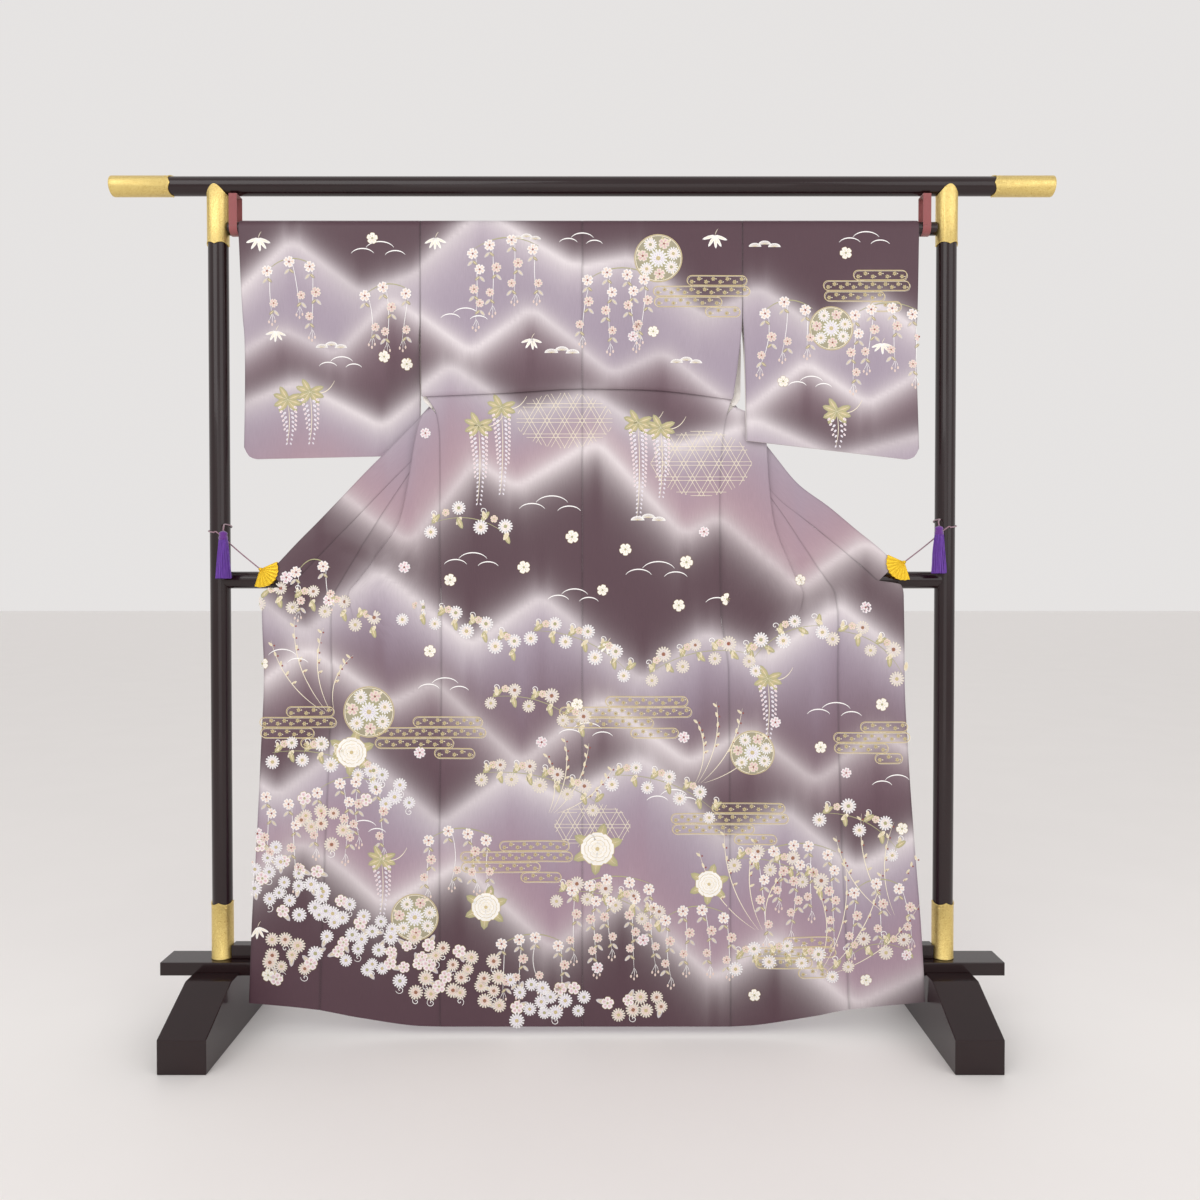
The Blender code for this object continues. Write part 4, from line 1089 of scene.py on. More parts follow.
class Sleeve(ClothPiece):
    """A sleeve: its near wall, the fold over the pole and its far wall, cut in one length."""

    name = "sleeve"
    dye_step = -0.004
    outer_way = -1
    corner = 0.028
    corner_start = 0.32
    blend = 0.090
    seam_low = 1.415
    seam_ease = 0.11

    def wall(self, parts: Array, name: str) -> Array:
        """Return the sections of one wall, from the rounded hem to the top of the pole.

        Near the armhole the wall lies in the body's plane, and further out in its own.
        """
        across = np.array([0, 0.05, 0.15, 0.3, 0.5, 0.7, 0.85, 0.93, 0.97, 1.0])
        edges = SLEEVE_EDGES[self.side]
        hem_inner, hem_outer = SLEEVE_HEMS[self.side]
        width = edges.rows[0][2] - self.corner_start
        near_corner = np.clip(1 - width * (1 - across) / self.corner, 0, 1)
        lift = self.corner * (1 - np.sqrt(1 - near_corner**2 * 0.98))
        hem = hem_inner + (hem_outer - hem_inner) * across + lift
        height = hem + (SIZES.pole_height - hem) * parts[:, None]
        low = edges.read("inner", height)
        x = low + (edges.read("outer", height) - low) * across
        free = SLEEVE_WALLS[self.side].read(name, height)
        if name == "near":
            sewn = UPPER_BACK.read("depth", height)
        else:
            pleated = ease((SIZES.pleat_start - height) / SIZES.pleat_start_ease)
            sewn = DEPTHS.read("far", height) - SIZES.pleat_gap * pleated
        hold = 1 - ease((x - low) / self.blend)
        hold = hold * ease((height - self.seam_low + self.seam_ease) / self.seam_ease)
        depth = free * (1 - hold) + sewn * hold
        return np.stack([self.side.value * x, depth, height], axis=2)

    def control(self) -> Array:
        """Return the near wall, the half turn over the pole and the far wall."""
        parts = np.array((0, 0.06, 0.15, 0.27, 0.4, 0.5, 0.59, 0.68, 0.78, 0.9, 1.0))
        near = self.wall(parts, "near")
        near[-1, :, 1] = -SIZES.fold_radius
        ring = over_pole(near[-1], (36, 72, 108, 144))
        far = self.wall(parts[::-1], "far")
        far[0, :, 1] = SIZES.fold_radius
        return np.concatenate([near, ring, far])


class Ink(Enum):
    """Colours of the flowers, as the eye sees them."""

    WHITE = (252, 250, 248)
    CREAM = (243, 232, 208)
    GOLD = (210, 191, 144)
    OLIVE = (174, 170, 128)
    SAGE = (158, 150, 128)
    RUST = (150, 78, 66)
    ROSE = (216, 168, 182)
    LILAC = (200, 184, 214)
    PEACH = (232, 198, 176)
    GREY = (208, 202, 210)


def turned(points: Array, angle: Array) -> Array:
    """Turn flat points by an angle, counter-clockwise: the two shares are cosine and sine."""
    x, z = points[..., 0], points[..., 1]
    return np.stack([x * np.cos(angle) - z * np.sin(angle), x * np.sin(angle) + z * np.cos(angle)], axis=-1)


def petal(points: int, breadth: float, notch: float, full: float) -> Array:
    """Return a petal's outline, one unit long from its root.

    Its width is a sine round the outline, wider towards the tip, and the tip is notched by a bell.

    Args:
        points: how many points the outline has.
        breadth: the petal's width.
        notch: the depth of the cleft in its tip.
        full: how much wider the tip is than the root, from -1 to 1.

    Returns:
        The outline, points by two.
    """
    turn = np.linspace(0, 2 * np.pi, points, endpoint=False)
    along = (1 - np.cos(turn)) / 2
    across = np.sin(turn) * breadth / 2 * (1 + full * (2 * along - 1))
    cleft = notch * np.exp(-(((turn - np.pi) / 0.35) ** 2))
    return np.stack([along - cleft, across], axis=1)


def bowed(start: Array, end: Array, bow: Array | float, count: int) -> Array:
    """Return paths from starts to ends, bowed sideways by a parabola.

    Args:
        start: where each path starts, shapes by two.
        end: where each path ends, shapes by two.
        bow: how far each middle lies to the left of the straight line.
        count: how many points a path has.

    Returns:
        The paths, shapes by count by two.
    """
    part = np.linspace(0, 1, count)[None, :, None]
    run = (end - start)[:, None, :]
    length = np.maximum(np.linalg.norm(run, axis=2, keepdims=True), 1e-6)
    square = np.stack([-run[..., 1], run[..., 0]], axis=-1) / length
    hump = 4 * part * (1 - part) * np.reshape(bow, (-1, 1, 1))
    return start[:, None, :] + run * part + square * hump


class Flowers:
    """Flat shapes laid out on the spread garment, and the motifs that are made from them."""

    round_petal = petal(12, 0.86, 0.05, 0.42)
    cleft_petal = petal(12, 0.80, 0.17, 0.46)
    thin_petal = petal(8, 0.30, 0.0, 0.30)
    leaf_form = petal(8, 0.44, 0.0, -0.18)
    bud_form = petal(7, 0.62, 0.0, -0.10)
    bamboo_leaf = petal(8, 0.26, 0.0, -0.1)
    peony_petal = petal(12, 0.84, 0.06, 0.4)
    disc_form = petal(10, 1.0, 0.0, 0.0) - (0.5, 0)

    def __init__(self) -> None:
        """Start with no shapes and a fixed seed."""
        self.points: list[Array] = []
        self.faces: list[Array] = []
        self.colours: list[Array] = []
        self.layers: list[Array] = []
        self.shapes: list[Array] = []
        self.point_count = 0
        self.shape_count = 0
        self.random = np.random.default_rng(7)

    def keep(self, points: Array, faces: Array, colours: Array, layer: float) -> None:
        """Keep shapes: points and colours are shapes by points, and faces are of one shape."""
        shapes, count = points.shape[:2]
        base = self.point_count + np.arange(shapes)[:, None, None] * count
        self.faces.append((base + faces[None]).reshape(-1, 3))
        self.points.append(points.reshape(-1, 2))
        self.colours.append(colours.reshape(-1, 3))
        self.layers.append(np.full(shapes * count, layer))
        self.shapes.append(np.repeat(self.shape_count + np.arange(shapes), count))
        self.point_count += shapes * count
        self.shape_count += shapes

    def fan(self, outlines: Array, inner: Ink, outer: Ink, layer: float) -> None:
        """Add closed outlines, each a fan of triangles that goes from one ink to another."""
        shapes, count = outlines.shape[:2]
        points = np.concatenate([outlines.mean(axis=1, keepdims=True), outlines], axis=1)
        rim = np.arange(count)
        faces = np.stack([rim * 0, 1 + rim, 1 + (rim + 1) % count], axis=1)
        shade = 1 - 0.10 * self.random.random((shapes, 1, 1))
        colours = np.repeat(linear(outer.value)[None, None, :], count + 1, axis=1)
        colours = np.repeat(colours, shapes, axis=0) * shade
        colours[:, 0] = linear(inner.value)
        self.keep(points, faces, colours, layer)

    def ribbon(self, paths: Array, width: float, ink: Ink, layer: float, taper: float = 0.7) -> None:
        """Add thin strips along paths, narrowed to both ends by a sine."""
        shapes, count = paths.shape[:2]
        way = np.gradient(paths, axis=1)
        way /= np.maximum(np.linalg.norm(way, axis=2, keepdims=True), 1e-9)
        square = np.stack([-way[..., 1], way[..., 0]], axis=-1)
        swell = 1 - taper + taper * np.sin(np.pi * np.linspace(0.04, 0.96, count))
        reach = square * (width / 2 * swell)[None, :, None]
        points = np.concatenate([paths + reach, paths - reach], axis=1)
        first = np.arange(count - 1)
        faces = np.concatenate(
            [
                np.stack([first, first + 1, first + count + 1], axis=1),
                np.stack([first, first + count + 1, first + count], axis=1),
            ]
        )
        colours = np.broadcast_to(linear(ink.value), (shapes, 2 * count, 3))
        self.keep(points, faces, colours, layer)

    def bloom(
        self,
        at: Array,
        radius: Array,
        turn: Array,
        petals: int,
        form: Array,
        root: float,
        inner: Ink,
        outer: Ink,
        layer: float,
    ) -> None:
        """Add rings of petals.

        Args:
            at: the middle of each ring, flowers by two.
            radius: each flower's radius.
            turn: the angle of each one's first petal.
            petals: how many petals a ring has.
            form: one petal's outline.
            root: where the petals start, as a share of the radius.
            inner: the ink in the middle of a petal.
            outer: the ink of its edge.
            layer: how high the ring lies on the others.
        """
        angle = turn[:, None] + ring_angles(petals)
        local = form * (1 - root) + (root, 0)
        outlines = turned(local[None, None], angle[:, :, None]) * radius[:, None, None, None]
        outlines = outlines + at[:, None, None, :]
        self.fan(outlines.reshape(-1, len(form), 2), inner, outer, layer)

    def discs(self, at: Array, radius: Array | float, ink: Ink, layer: float) -> None:
        """Add round dots."""
        reach = for_each(radius, at)
        self.fan(self.disc_form[None] * 2 * reach[:, None, None] + at[:, None, :], ink, ink, layer)

    def patch(self, at: Array, radius: float, inner: Ink, outer: Ink, layer: float) -> None:
        """Add a round patch of many small faces, so that it follows the cloth."""
        sides, rings = 30, 7
        turn = ring_angles(sides)
        reach = radius * np.linspace(0.02, 1, rings)[:, None, None]
        points = at + (reach * on_circle(turn)).reshape(1, -1, 2)
        index = np.arange(rings * sides).reshape(rings, sides)
        low, high = index[:-1], index[1:]
        over = np.roll(high, -1, axis=1)
        faces = np.concatenate(
            [
                np.stack([low, high, over], axis=2).reshape(-1, 3),
                np.stack([low, over, np.roll(low, -1, axis=1)], axis=2).reshape(-1, 3),
            ]
        )
        part = np.repeat(np.linspace(0, 1, rings), sides)[None, :, None]
        colours = linear(inner.value) * (1 - part) + linear(outer.value) * part
        self.keep(points, faces, colours, layer)

    def around(self, at: Array, radius: Array, turn: Array, count: int) -> Array:
        """Return points evenly spaced on a circle round each place."""
        angle = turn[:, None] + ring_angles(count)
        ring = on_circle(angle) * radius[:, None, None]
        return (at[:, None, :] + ring).reshape(-1, 2)

    def plum(self, at: Array, radius: Array | float, edge: Ink = Ink.WHITE, heart: Ink = Ink.CREAM) -> None:
        """Add plum blossoms: five round petals, a heart and a ring of stamen tips."""
        radius = for_each(radius, at)
        turn = self.random.random(len(at)) * 2
        self.bloom(at, radius * 1.06, turn, 5, self.round_petal, 0.08, Ink.GOLD, Ink.GOLD, 1)
        self.bloom(at, radius, turn, 5, self.round_petal, 0.12, heart, edge, 2)
        tips = self.around(at, radius * 0.44, turn + 0.3, 7)
        self.ribbon(bowed(np.repeat(at, 7, axis=0), tips, 0, 3), 0.0004, Ink.GOLD, 3, 0.2)
        self.discs(tips, 0.0006, Ink.GOLD, 4)
        self.discs(at, radius * 0.17, Ink.OLIVE, 4)

    def cherry(
        self, at: Array, radius: Array | float, edge: Ink = Ink.WHITE, heart: Ink = Ink.ROSE
    ) -> None:
        """Add cherry blossoms: five cleft petals and a rust or gold heart."""
        radius = for_each(radius, at)
        turn = self.random.random(len(at)) * 2
        self.bloom(at, radius * 1.05, turn, 5, self.cleft_petal, 0.08, Ink.GREY, Ink.GREY, 1)
        self.bloom(at, radius, turn, 5, self.cleft_petal, 0.12, heart, edge, 2)
        tips = self.around(at, radius * 0.40, turn + 0.2, 5)
        self.ribbon(bowed(np.repeat(at, 5, axis=0), tips, 0, 3), 0.0004, Ink.RUST, 3, 0.2)
        self.discs(at, radius * 0.16, Ink.RUST, 4)

    def chrysanthemum(self, at: Array, radius: Array | float, edge: Ink, heart: Ink) -> None:
        """Add chrysanthemums: two rings of narrow petals round a button."""
        radius = for_each(radius, at)
        turn = self.random.random(len(at)) * 2
        self.bloom(at, radius, turn, 15, self.thin_petal, 0.20, Ink.GREY, edge, 1.5)
        self.bloom(at, radius * 0.68, turn + 0.2, 11, self.thin_petal, 0.16, heart, edge, 2.5)
        self.discs(at[::2], radius[::2] * 0.24, Ink.GOLD, 3.5)
        self.discs(at[1::2], radius[1::2] * 0.24, Ink.OLIVE if edge is Ink.WHITE else Ink.RUST, 3.5)
        self.discs(self.around(at, radius * 0.13, turn, 5), 0.0007, Ink.OLIVE, 4.2)

    def leaves(self, at: Array, length: Array | float, angle: Array, ink: Ink) -> None:
        """Add leaves with a pale midrib, each from its root along its angle."""
        length = for_each(length, at)
        outline = turned(self.leaf_form[None], angle[:, None]) * length[:, None, None]
        self.fan(outline + at[:, None, :], Ink.GOLD, ink, 1)
        ends = at + on_circle(angle) * length[:, None] * 0.88
        self.ribbon(bowed(at, ends, 0, 3), 0.0006, Ink.CREAM, 2)

    def weeping(self, at: Array, drop: float, strands: int) -> None:
        """Add a weeping spray: an arching twig with hanging strands of blossom, leaf and bud."""
        reach = 0.016 * strands
        twig = bowed(at[None] - (reach, 0.012), at[None] + (reach, -0.006), 0.020, 14)
        self.ribbon(twig, 0.0020, Ink.OLIVE, 0.5)
        share = np.linspace(0.06, 0.94, strands) + self.random.normal(0, 0.02, strands)
        along = np.linspace(0, 1, 14)
        roots = read_line(share, along, twig[0])
        drops = drop * (0.60 + 0.45 * self.random.random(strands))
        sway = self.random.normal(0, 0.010, strands)
        ends = roots + np.stack([sway, -drops], axis=1)
        paths = bowed(roots, ends, self.random.normal(0, 0.004, strands), 16)
        self.ribbon(paths, 0.0012, Ink.WHITE, 0.6)
        for path, fall in zip(paths, drops):
            count = max(2, int(fall / 0.034))
            marks = np.linspace(1, 12, count) + self.random.normal(0, 0.3, count)
            here = read_line(marks, np.arange(16), path)
            side = np.where(np.arange(count) % 2, 1, -1)
            here = here + side[:, None] * (0.006, 0)
            size = 0.0120 - 0.0030 * np.linspace(0, 1, count)
            half = count // 2
            self.cherry(here[:half], size[:half], Ink.WHITE, Ink.PEACH)
            self.cherry(here[half:], size[half:], Ink.CREAM, Ink.ROSE)
            low = here - (0, 0.014)
            angle = -np.pi / 2 + side * 0.75
            self.leaves(low, 0.0150, angle, Ink.GREY)
            self.leaves(low, 0.0125, -np.pi / 2 - side * 0.85, Ink.SAGE)
        fork = np.repeat(ends, 3, axis=0)
        tips = fork + np.tile(np.array([(-0.006, -0.014), (0.0, -0.019), (0.006, -0.013)]), (strands, 1))
        self.ribbon(bowed(fork, tips, 0.001, 5), 0.0008, Ink.WHITE, 0.7)
        buds = turned(self.bud_form[None], np.full((len(tips), 1), -np.pi / 2)) * 0.0062
        self.fan(buds + tips[:, None, :], Ink.ROSE, Ink.CREAM, 1.2)

    def wisteria(self, at: Array, drop: float) -> None:
        """Add wisteria: a cluster that narrows downwards, of small paired petals, under leaves."""
        self.ribbon(bowed(at[None], at[None] - (0.002, drop), 0.004, 14), 0.0013, Ink.CREAM, 0.6)
        count = int(drop / 0.0080)
        part = np.linspace(0, 1, count)
        for way in (-1, 1):
            for lane, reach in enumerate((0.0052, 0.0125)):
                rows = part < (1.0, 0.62)[lane]
                x = at[0] + way * reach * (1 - 0.55 * part[rows]) + 0.004 * np.sin(part[rows] * np.pi)
                z = at[1] - 0.010 - drop * part[rows] * 0.98 + 0.003 * lane
                place = np.stack([x, z], axis=1)
                turn = -np.pi / 2 + way * (0.9 - 0.4 * part[rows])
                size = (0.0078 - 0.0030 * part[rows])[:, None, None]
                outline = turned(self.bud_form[None], turn[:, None]) * size + place[:, None, :]
                self.fan(outline, Ink.ROSE if lane else Ink.LILAC, Ink.WHITE, 1 + 0.3 * lane)
        angle = np.radians((205, 235, 160, 20, -20, -52, 120))
        roots = np.repeat(at[None] + (0, 0.006), len(angle), axis=0)
        self.leaves(roots, 0.030, angle, Ink.OLIVE)
        self.ribbon(bowed(roots[:1], roots[:1] + (0.050, 0.022), -0.012, 12), 0.0016, Ink.CREAM, 0.5)

    def hills(self, at: Array, size: float) -> None:
        """Add three thin arcs, like far hills."""
        steps = np.radians(np.linspace(158, 22, 14))
        arcs = []
        for shift, drop, radius in ((0, 0, 1.0), (-1.15, -0.32, 0.8), (1.0, -0.42, 0.72)):
            x = at[0] + size * (shift + radius * np.cos(steps))
            z = at[1] + size * (drop + radius * 0.62 * np.sin(steps))
            arcs.append(np.stack([x, z], axis=1))
        self.ribbon(np.array(arcs), 0.0022, Ink.WHITE, 0.8, 0.85)

    def cloud(self, at: Array, width: float) -> None:
        """Add a cloud of round-ended bars, edged in gold and filled with rows of small flowers."""
        bars = ((0.0, 0.0, 1.0), (0.16, 0.021, 0.62), (-0.14, -0.021, 0.70), (0.22, -0.041, 0.36))
        half = 0.0095
        turn = np.linspace(-np.pi / 2, np.pi / 2, 9)
        outlines = []
        for shift, rise, share in bars:
            reach = width * share / 2 - half
            middle = at + (width * shift, rise)
            right = np.stack([reach + half * np.cos(turn), half * np.sin(turn)], axis=1)
            top = np.linspace((reach, half), (-reach, half), 16)[1:-1]
            outlines.append(np.concatenate([right, top, -right, -top, right[:1]]) + middle)
            count = int(2 * reach / 0.0115)
            x = np.linspace(-reach, reach, count)
            z = np.where(np.arange(count) % 2, 0.0030, -0.0030)
            places = np.stack([x, z], axis=1) + middle
            spin = np.arange(count) * 0.7
            size = np.full(count, 0.0046)
            self.bloom(places, size, spin, 6, self.bud_form, 0.15, Ink.OLIVE, Ink.GOLD, 1.1)
            self.discs(places, 0.0009, Ink.RUST, 2)
            self.discs(places + (0.0057, 0), 0.0011, Ink.CREAM, 1.1)
        self.ribbon(np.array(outlines), 0.0014, Ink.GOLD, 1.4, 0.0)
        self.ribbon(np.array(outlines) + (0.0016, -0.0016), 0.0006, Ink.CREAM, 1.3, 0.0)

    def ball(self, at: Array, radius: float) -> None:
        """Add a flower ball: blossoms and leaves packed in a round gold edge."""
        middle = at[None]
        self.patch(at, radius, Ink.OLIVE, Ink.SAGE, 0.3)
        steps = np.linspace(0, 2 * np.pi, 40)
        for share, ink in ((1.0, Ink.GOLD), (0.95, Ink.CREAM)):
            ring = at + radius * share * on_circle(steps)
            self.ribbon(ring[None], 0.0012, ink, 1.2, 0.0)
        seats = self.around(middle, np.array([radius * 0.66]), np.array([0.3]), 7)
        spokes = np.arctan2(seats[:, 1] - at[1], seats[:, 0] - at[0])
        self.leaves(seats, radius * 0.34, spokes + 0.6, Ink.OLIVE)
        self.leaves(seats, radius * 0.34, spokes - 0.7, Ink.CREAM)
        self.chrysanthemum(seats[::2], radius * 0.29, Ink.WHITE, Ink.PEACH)
        self.cherry(seats[1::2], radius * 0.25, Ink.CREAM, Ink.ROSE)
        self.chrysanthemum(middle, radius * 0.40, Ink.WHITE, Ink.LILAC)

    def lattice(self, at: Array, width: float, height: float) -> None:
        """Add a patch of star lattice: paired lines in three directions, within an oval.

        A line starts and ends at the two roots of the square equation of where it meets the oval.
        """
        step = 0.030
        lines = []
        for angle in np.radians((0, 60, 120)):
            way = np.array([math.cos(angle), math.sin(angle)])
            square = np.array([-way[1], way[0]])
            oval = np.array([width / 2, height / 2])
            for order in range(-6, 7):
                for pair in (-0.0035, 0.0035):
                    off = square * (order * step + pair)
                    squared = ((way / oval) ** 2).sum()
                    crossed = (way * off / oval**2).sum()
                    inside = crossed * crossed - squared * (((off / oval) ** 2).sum() - 1)
                    if inside > 0:
                        reach = math.sqrt(inside) / squared
                        along = -crossed / squared + np.linspace(-reach, reach, 24)
                        lines.append(at + off + way * along[:, None])
        self.ribbon(np.array(lines), 0.0009, Ink.CREAM, 0.4, 0.2)

    def bamboo(self, at: Array, size: float) -> None:
        """Add a fan of bamboo leaves."""
        angle = np.radians((200, 235, 270, 305, 338)) + self.random.normal(0, 0.08, 5)
        outline = turned(self.bamboo_leaf[None], angle[:, None]) * size
        self.fan(outline + at, Ink.CREAM, Ink.WHITE, 1)
        self.ribbon(bowed(at[None], at[None] + (0.006, size * 0.5), 0.001, 5), 0.0010, Ink.CREAM, 0.7)

    def pine(self, at: Array, size: float) -> None:
        """Add layered pine tufts: flat half rounds with needles."""
        turn = np.linspace(0, np.pi, 10)
        dome = np.stack([np.cos(turn), 0.62 * np.sin(turn)], axis=1)
        seats = np.array([(0, 0.10), (-0.95, -0.12), (0.95, -0.16)]) * size + at
        self.fan(dome[None] * size * 0.62 + seats[:, None, :], Ink.GREY, Ink.WHITE, 1)
        steps = np.radians(np.linspace(20, 160, 7))
        ends = seats[:, None, :] + np.stack([np.cos(steps), 0.62 * np.sin(steps)], axis=1) * size * 0.56
        self.ribbon(bowed(np.repeat(seats, 7, axis=0), ends.reshape(-1, 2), 0, 3), 0.0007, Ink.GOLD, 2)

    def scrolls(self, at: Array, size: Array | float, turn: Array) -> None:
        """Add tendrils: spirals whose radius shrinks evenly as they turn."""
        part = np.linspace(0, 1, 20)
        spiral = np.stack([(1 - part) * np.cos(part * 8.2), (1 - part) * np.sin(part * 8.2)], axis=1)
        size = for_each(size, at)
        paths = turned(spiral[None], turn[:, None]) * size[:, None, None] + at[:, None, :]
        self.ribbon(paths, 0.0013, Ink.WHITE, 0.7, 0.5)

    def vine(self, at: Array, reach: Array, count: int, edge: Ink, heart: Ink) -> None:
        """Add a vine of chrysanthemums: a bowed stem with flowers, leaves and tendrils in turn."""
        path = bowed(at[None], (at + reach)[None], 0.022, 24)[0]
        self.ribbon(path[None], 0.0014, Ink.OLIVE, 0.5)
        marks = np.linspace(0.5, 22.5, count)
        here = read_line(marks, np.arange(24), path)
        way = math.atan2(reach[1], reach[0])
        side = np.where(np.arange(count) % 2, 1.0, -1.0)
        square = np.array([-math.sin(way), math.cos(way)])
        seats = here + square * (side * (0.012 + 0.008 * self.random.random(count)))[:, None]
        size = 0.0125 + 0.0035 * self.random.random(count)
        self.ribbon(bowed(here, seats, 0.002, 4), 0.0010, Ink.OLIVE, 0.5)
        self.leaves(here, 0.024, way - side * 1.0, Ink.OLIVE)
        self.leaves(here + (0.008, 0.002), 0.019, way - side * 2.0, Ink.CREAM)
        self.chrysanthemum(seats, size, edge, heart)
        tails = here[::2] - square * (side[::2] * 0.020)[:, None]
        self.scrolls(tails, 0.0090, way + side[::2] * 2)
        gaps = (here[:-1] + here[1:])[::2] / 2 + square * 0.016
        self.plum(gaps, 0.0075, Ink.CREAM, Ink.ROSE)

    def grass(self, at: Array, height: float, lean: float) -> None:
        """Add autumn grass: long bowed blades with small berries and paired leaves."""
        spread = np.array([-0.35, -0.10, 0.22, 0.55]) * height
        roots = np.repeat(at[None], 4, axis=0) + np.stack([spread * 0.12, spread * 0], axis=1)
        tips = at + np.stack([spread + lean, height * np.array([0.78, 1.0, 0.92, 0.62])], axis=1)
        paths = bowed(roots, tips, -np.sign(lean) * height * 0.10, 18)
        self.ribbon(paths, 0.0016, Ink.CREAM, 0.5, 0.9)
        for path in paths:
            beads = path[8::2]
            self.discs(beads + (0.0035, 0.001), 0.0017, Ink.RUST, 1)
            self.leaves(beads, 0.0110, np.linspace(0.5, 2.4, len(beads)), Ink.CREAM)

    def drift(self, at: Array, spread: Array, count: int, edge: Ink, heart: Ink) -> None:
        """Add a drift of chrysanthemums that touch without covering each other, with leaves.

        The flowers sit in rows on a slanted net, each moved a little at random.
        """
        step = 0.0305
        order = np.arange(count)
        across = max(2, int(spread[0] / step))
        column, row = order % across, order // across
        x = (column + 0.5 * (row % 2)) * step - spread[0] / 2
        z = -row * step * 0.84 + x * spread[1]
        places = at + np.stack([x, z], axis=1) + self.random.normal(0, 0.0052, (count, 2))
        chance = self.random.random(count)
        rim = chance < 0.4
        self.leaves(places[rim], 0.024, self.random.random(rim.sum()) * 6.2, Ink.GREY)
        self.scrolls(places[chance > 0.72] - (0, 0.018), 0.0085, chance[chance > 0.72] * 30)
        grown = chance > 0.25
        size = 0.0125 + 0.0035 * self.random.random(count)
        self.chrysanthemum(places[grown], size[grown], edge, heart)
        self.plum(places[~grown], size[~grown] * 0.85, Ink.WHITE, Ink.ROSE)

    def peony(self, at: Array, radius: float) -> None:
        """Add one large many-petalled flower, ring upon ring."""
        middle = at[None]
        for ring, (share, petals) in enumerate(((1.0, 8), (0.76, 7), (0.54, 6), (0.34, 5))):
            turn = np.array([0.5 * ring])
            size = np.array([radius * share])
            self.bloom(middle, size, turn, petals, self.peony_petal, 0.1, Ink.CREAM, Ink.WHITE, 2 + ring)
            rim = np.array([radius * share * 1.04])
            self.bloom(middle, rim, turn, petals, self.peony_petal, 0.1, Ink.GOLD, Ink.GOLD, 1.6 + ring)
        self.discs(middle, radius * 0.12, Ink.GOLD, 6.5)
        angle = np.radians((20, 75, 150, 205, 265, 320))
        self.leaves(np.repeat(middle, 6, axis=0), radius * 1.55, angle, Ink.OLIVE)


class Motif(Enum):
    """What grows at a place of the spread garment."""

    WEEPING = "weeping"
    WISTERIA = "wisteria"
    HILLS = "hills"
    CLOUD = "cloud"
    BALL = "ball"
    LATTICE = "lattice"
    BAMBOO = "bamboo"
    PINE = "pine"
    VINE = "vine"
    GRASS = "grass"
    DRIFT = "drift"
    PEONY = "peony"
    PLUM = "plum"
    CHERRY = "cherry"


@dataclass(frozen=True)
class Planting:
    """Motifs of one kind: each seat is x and height on the garment, then the motif's own sizes."""

    motif: Motif
    seats: tuple[tuple[float, ...], ...]

    def draw(self, flowers: Flowers) -> None:
        """Add each seat's motif to the flowers."""
        for x, z, *sizes in self.seats:
            at = np.array([x, z])
            if self.motif in (Motif.PLUM, Motif.CHERRY):
                getattr(flowers, self.motif.value)(at[None], sizes[0])
            elif self.motif is Motif.WEEPING:
                flowers.weeping(at, sizes[0], int(sizes[1]))
            elif self.motif is Motif.VINE:
                inks = (Ink.WHITE, Ink.PEACH) if sizes[3] > 0 else (Ink.CREAM, Ink.LILAC)
                flowers.vine(at, np.array(sizes[:2]), int(sizes[2]), *inks)
            elif self.motif is Motif.DRIFT:
                inks = (Ink.WHITE, Ink.LILAC) if sizes[3] > 0 else (Ink.CREAM, Ink.ROSE)
                flowers.drift(at, np.array(sizes[:2]), int(sizes[2]), *inks)
            else:
                getattr(flowers, self.motif.value)(at, *sizes)


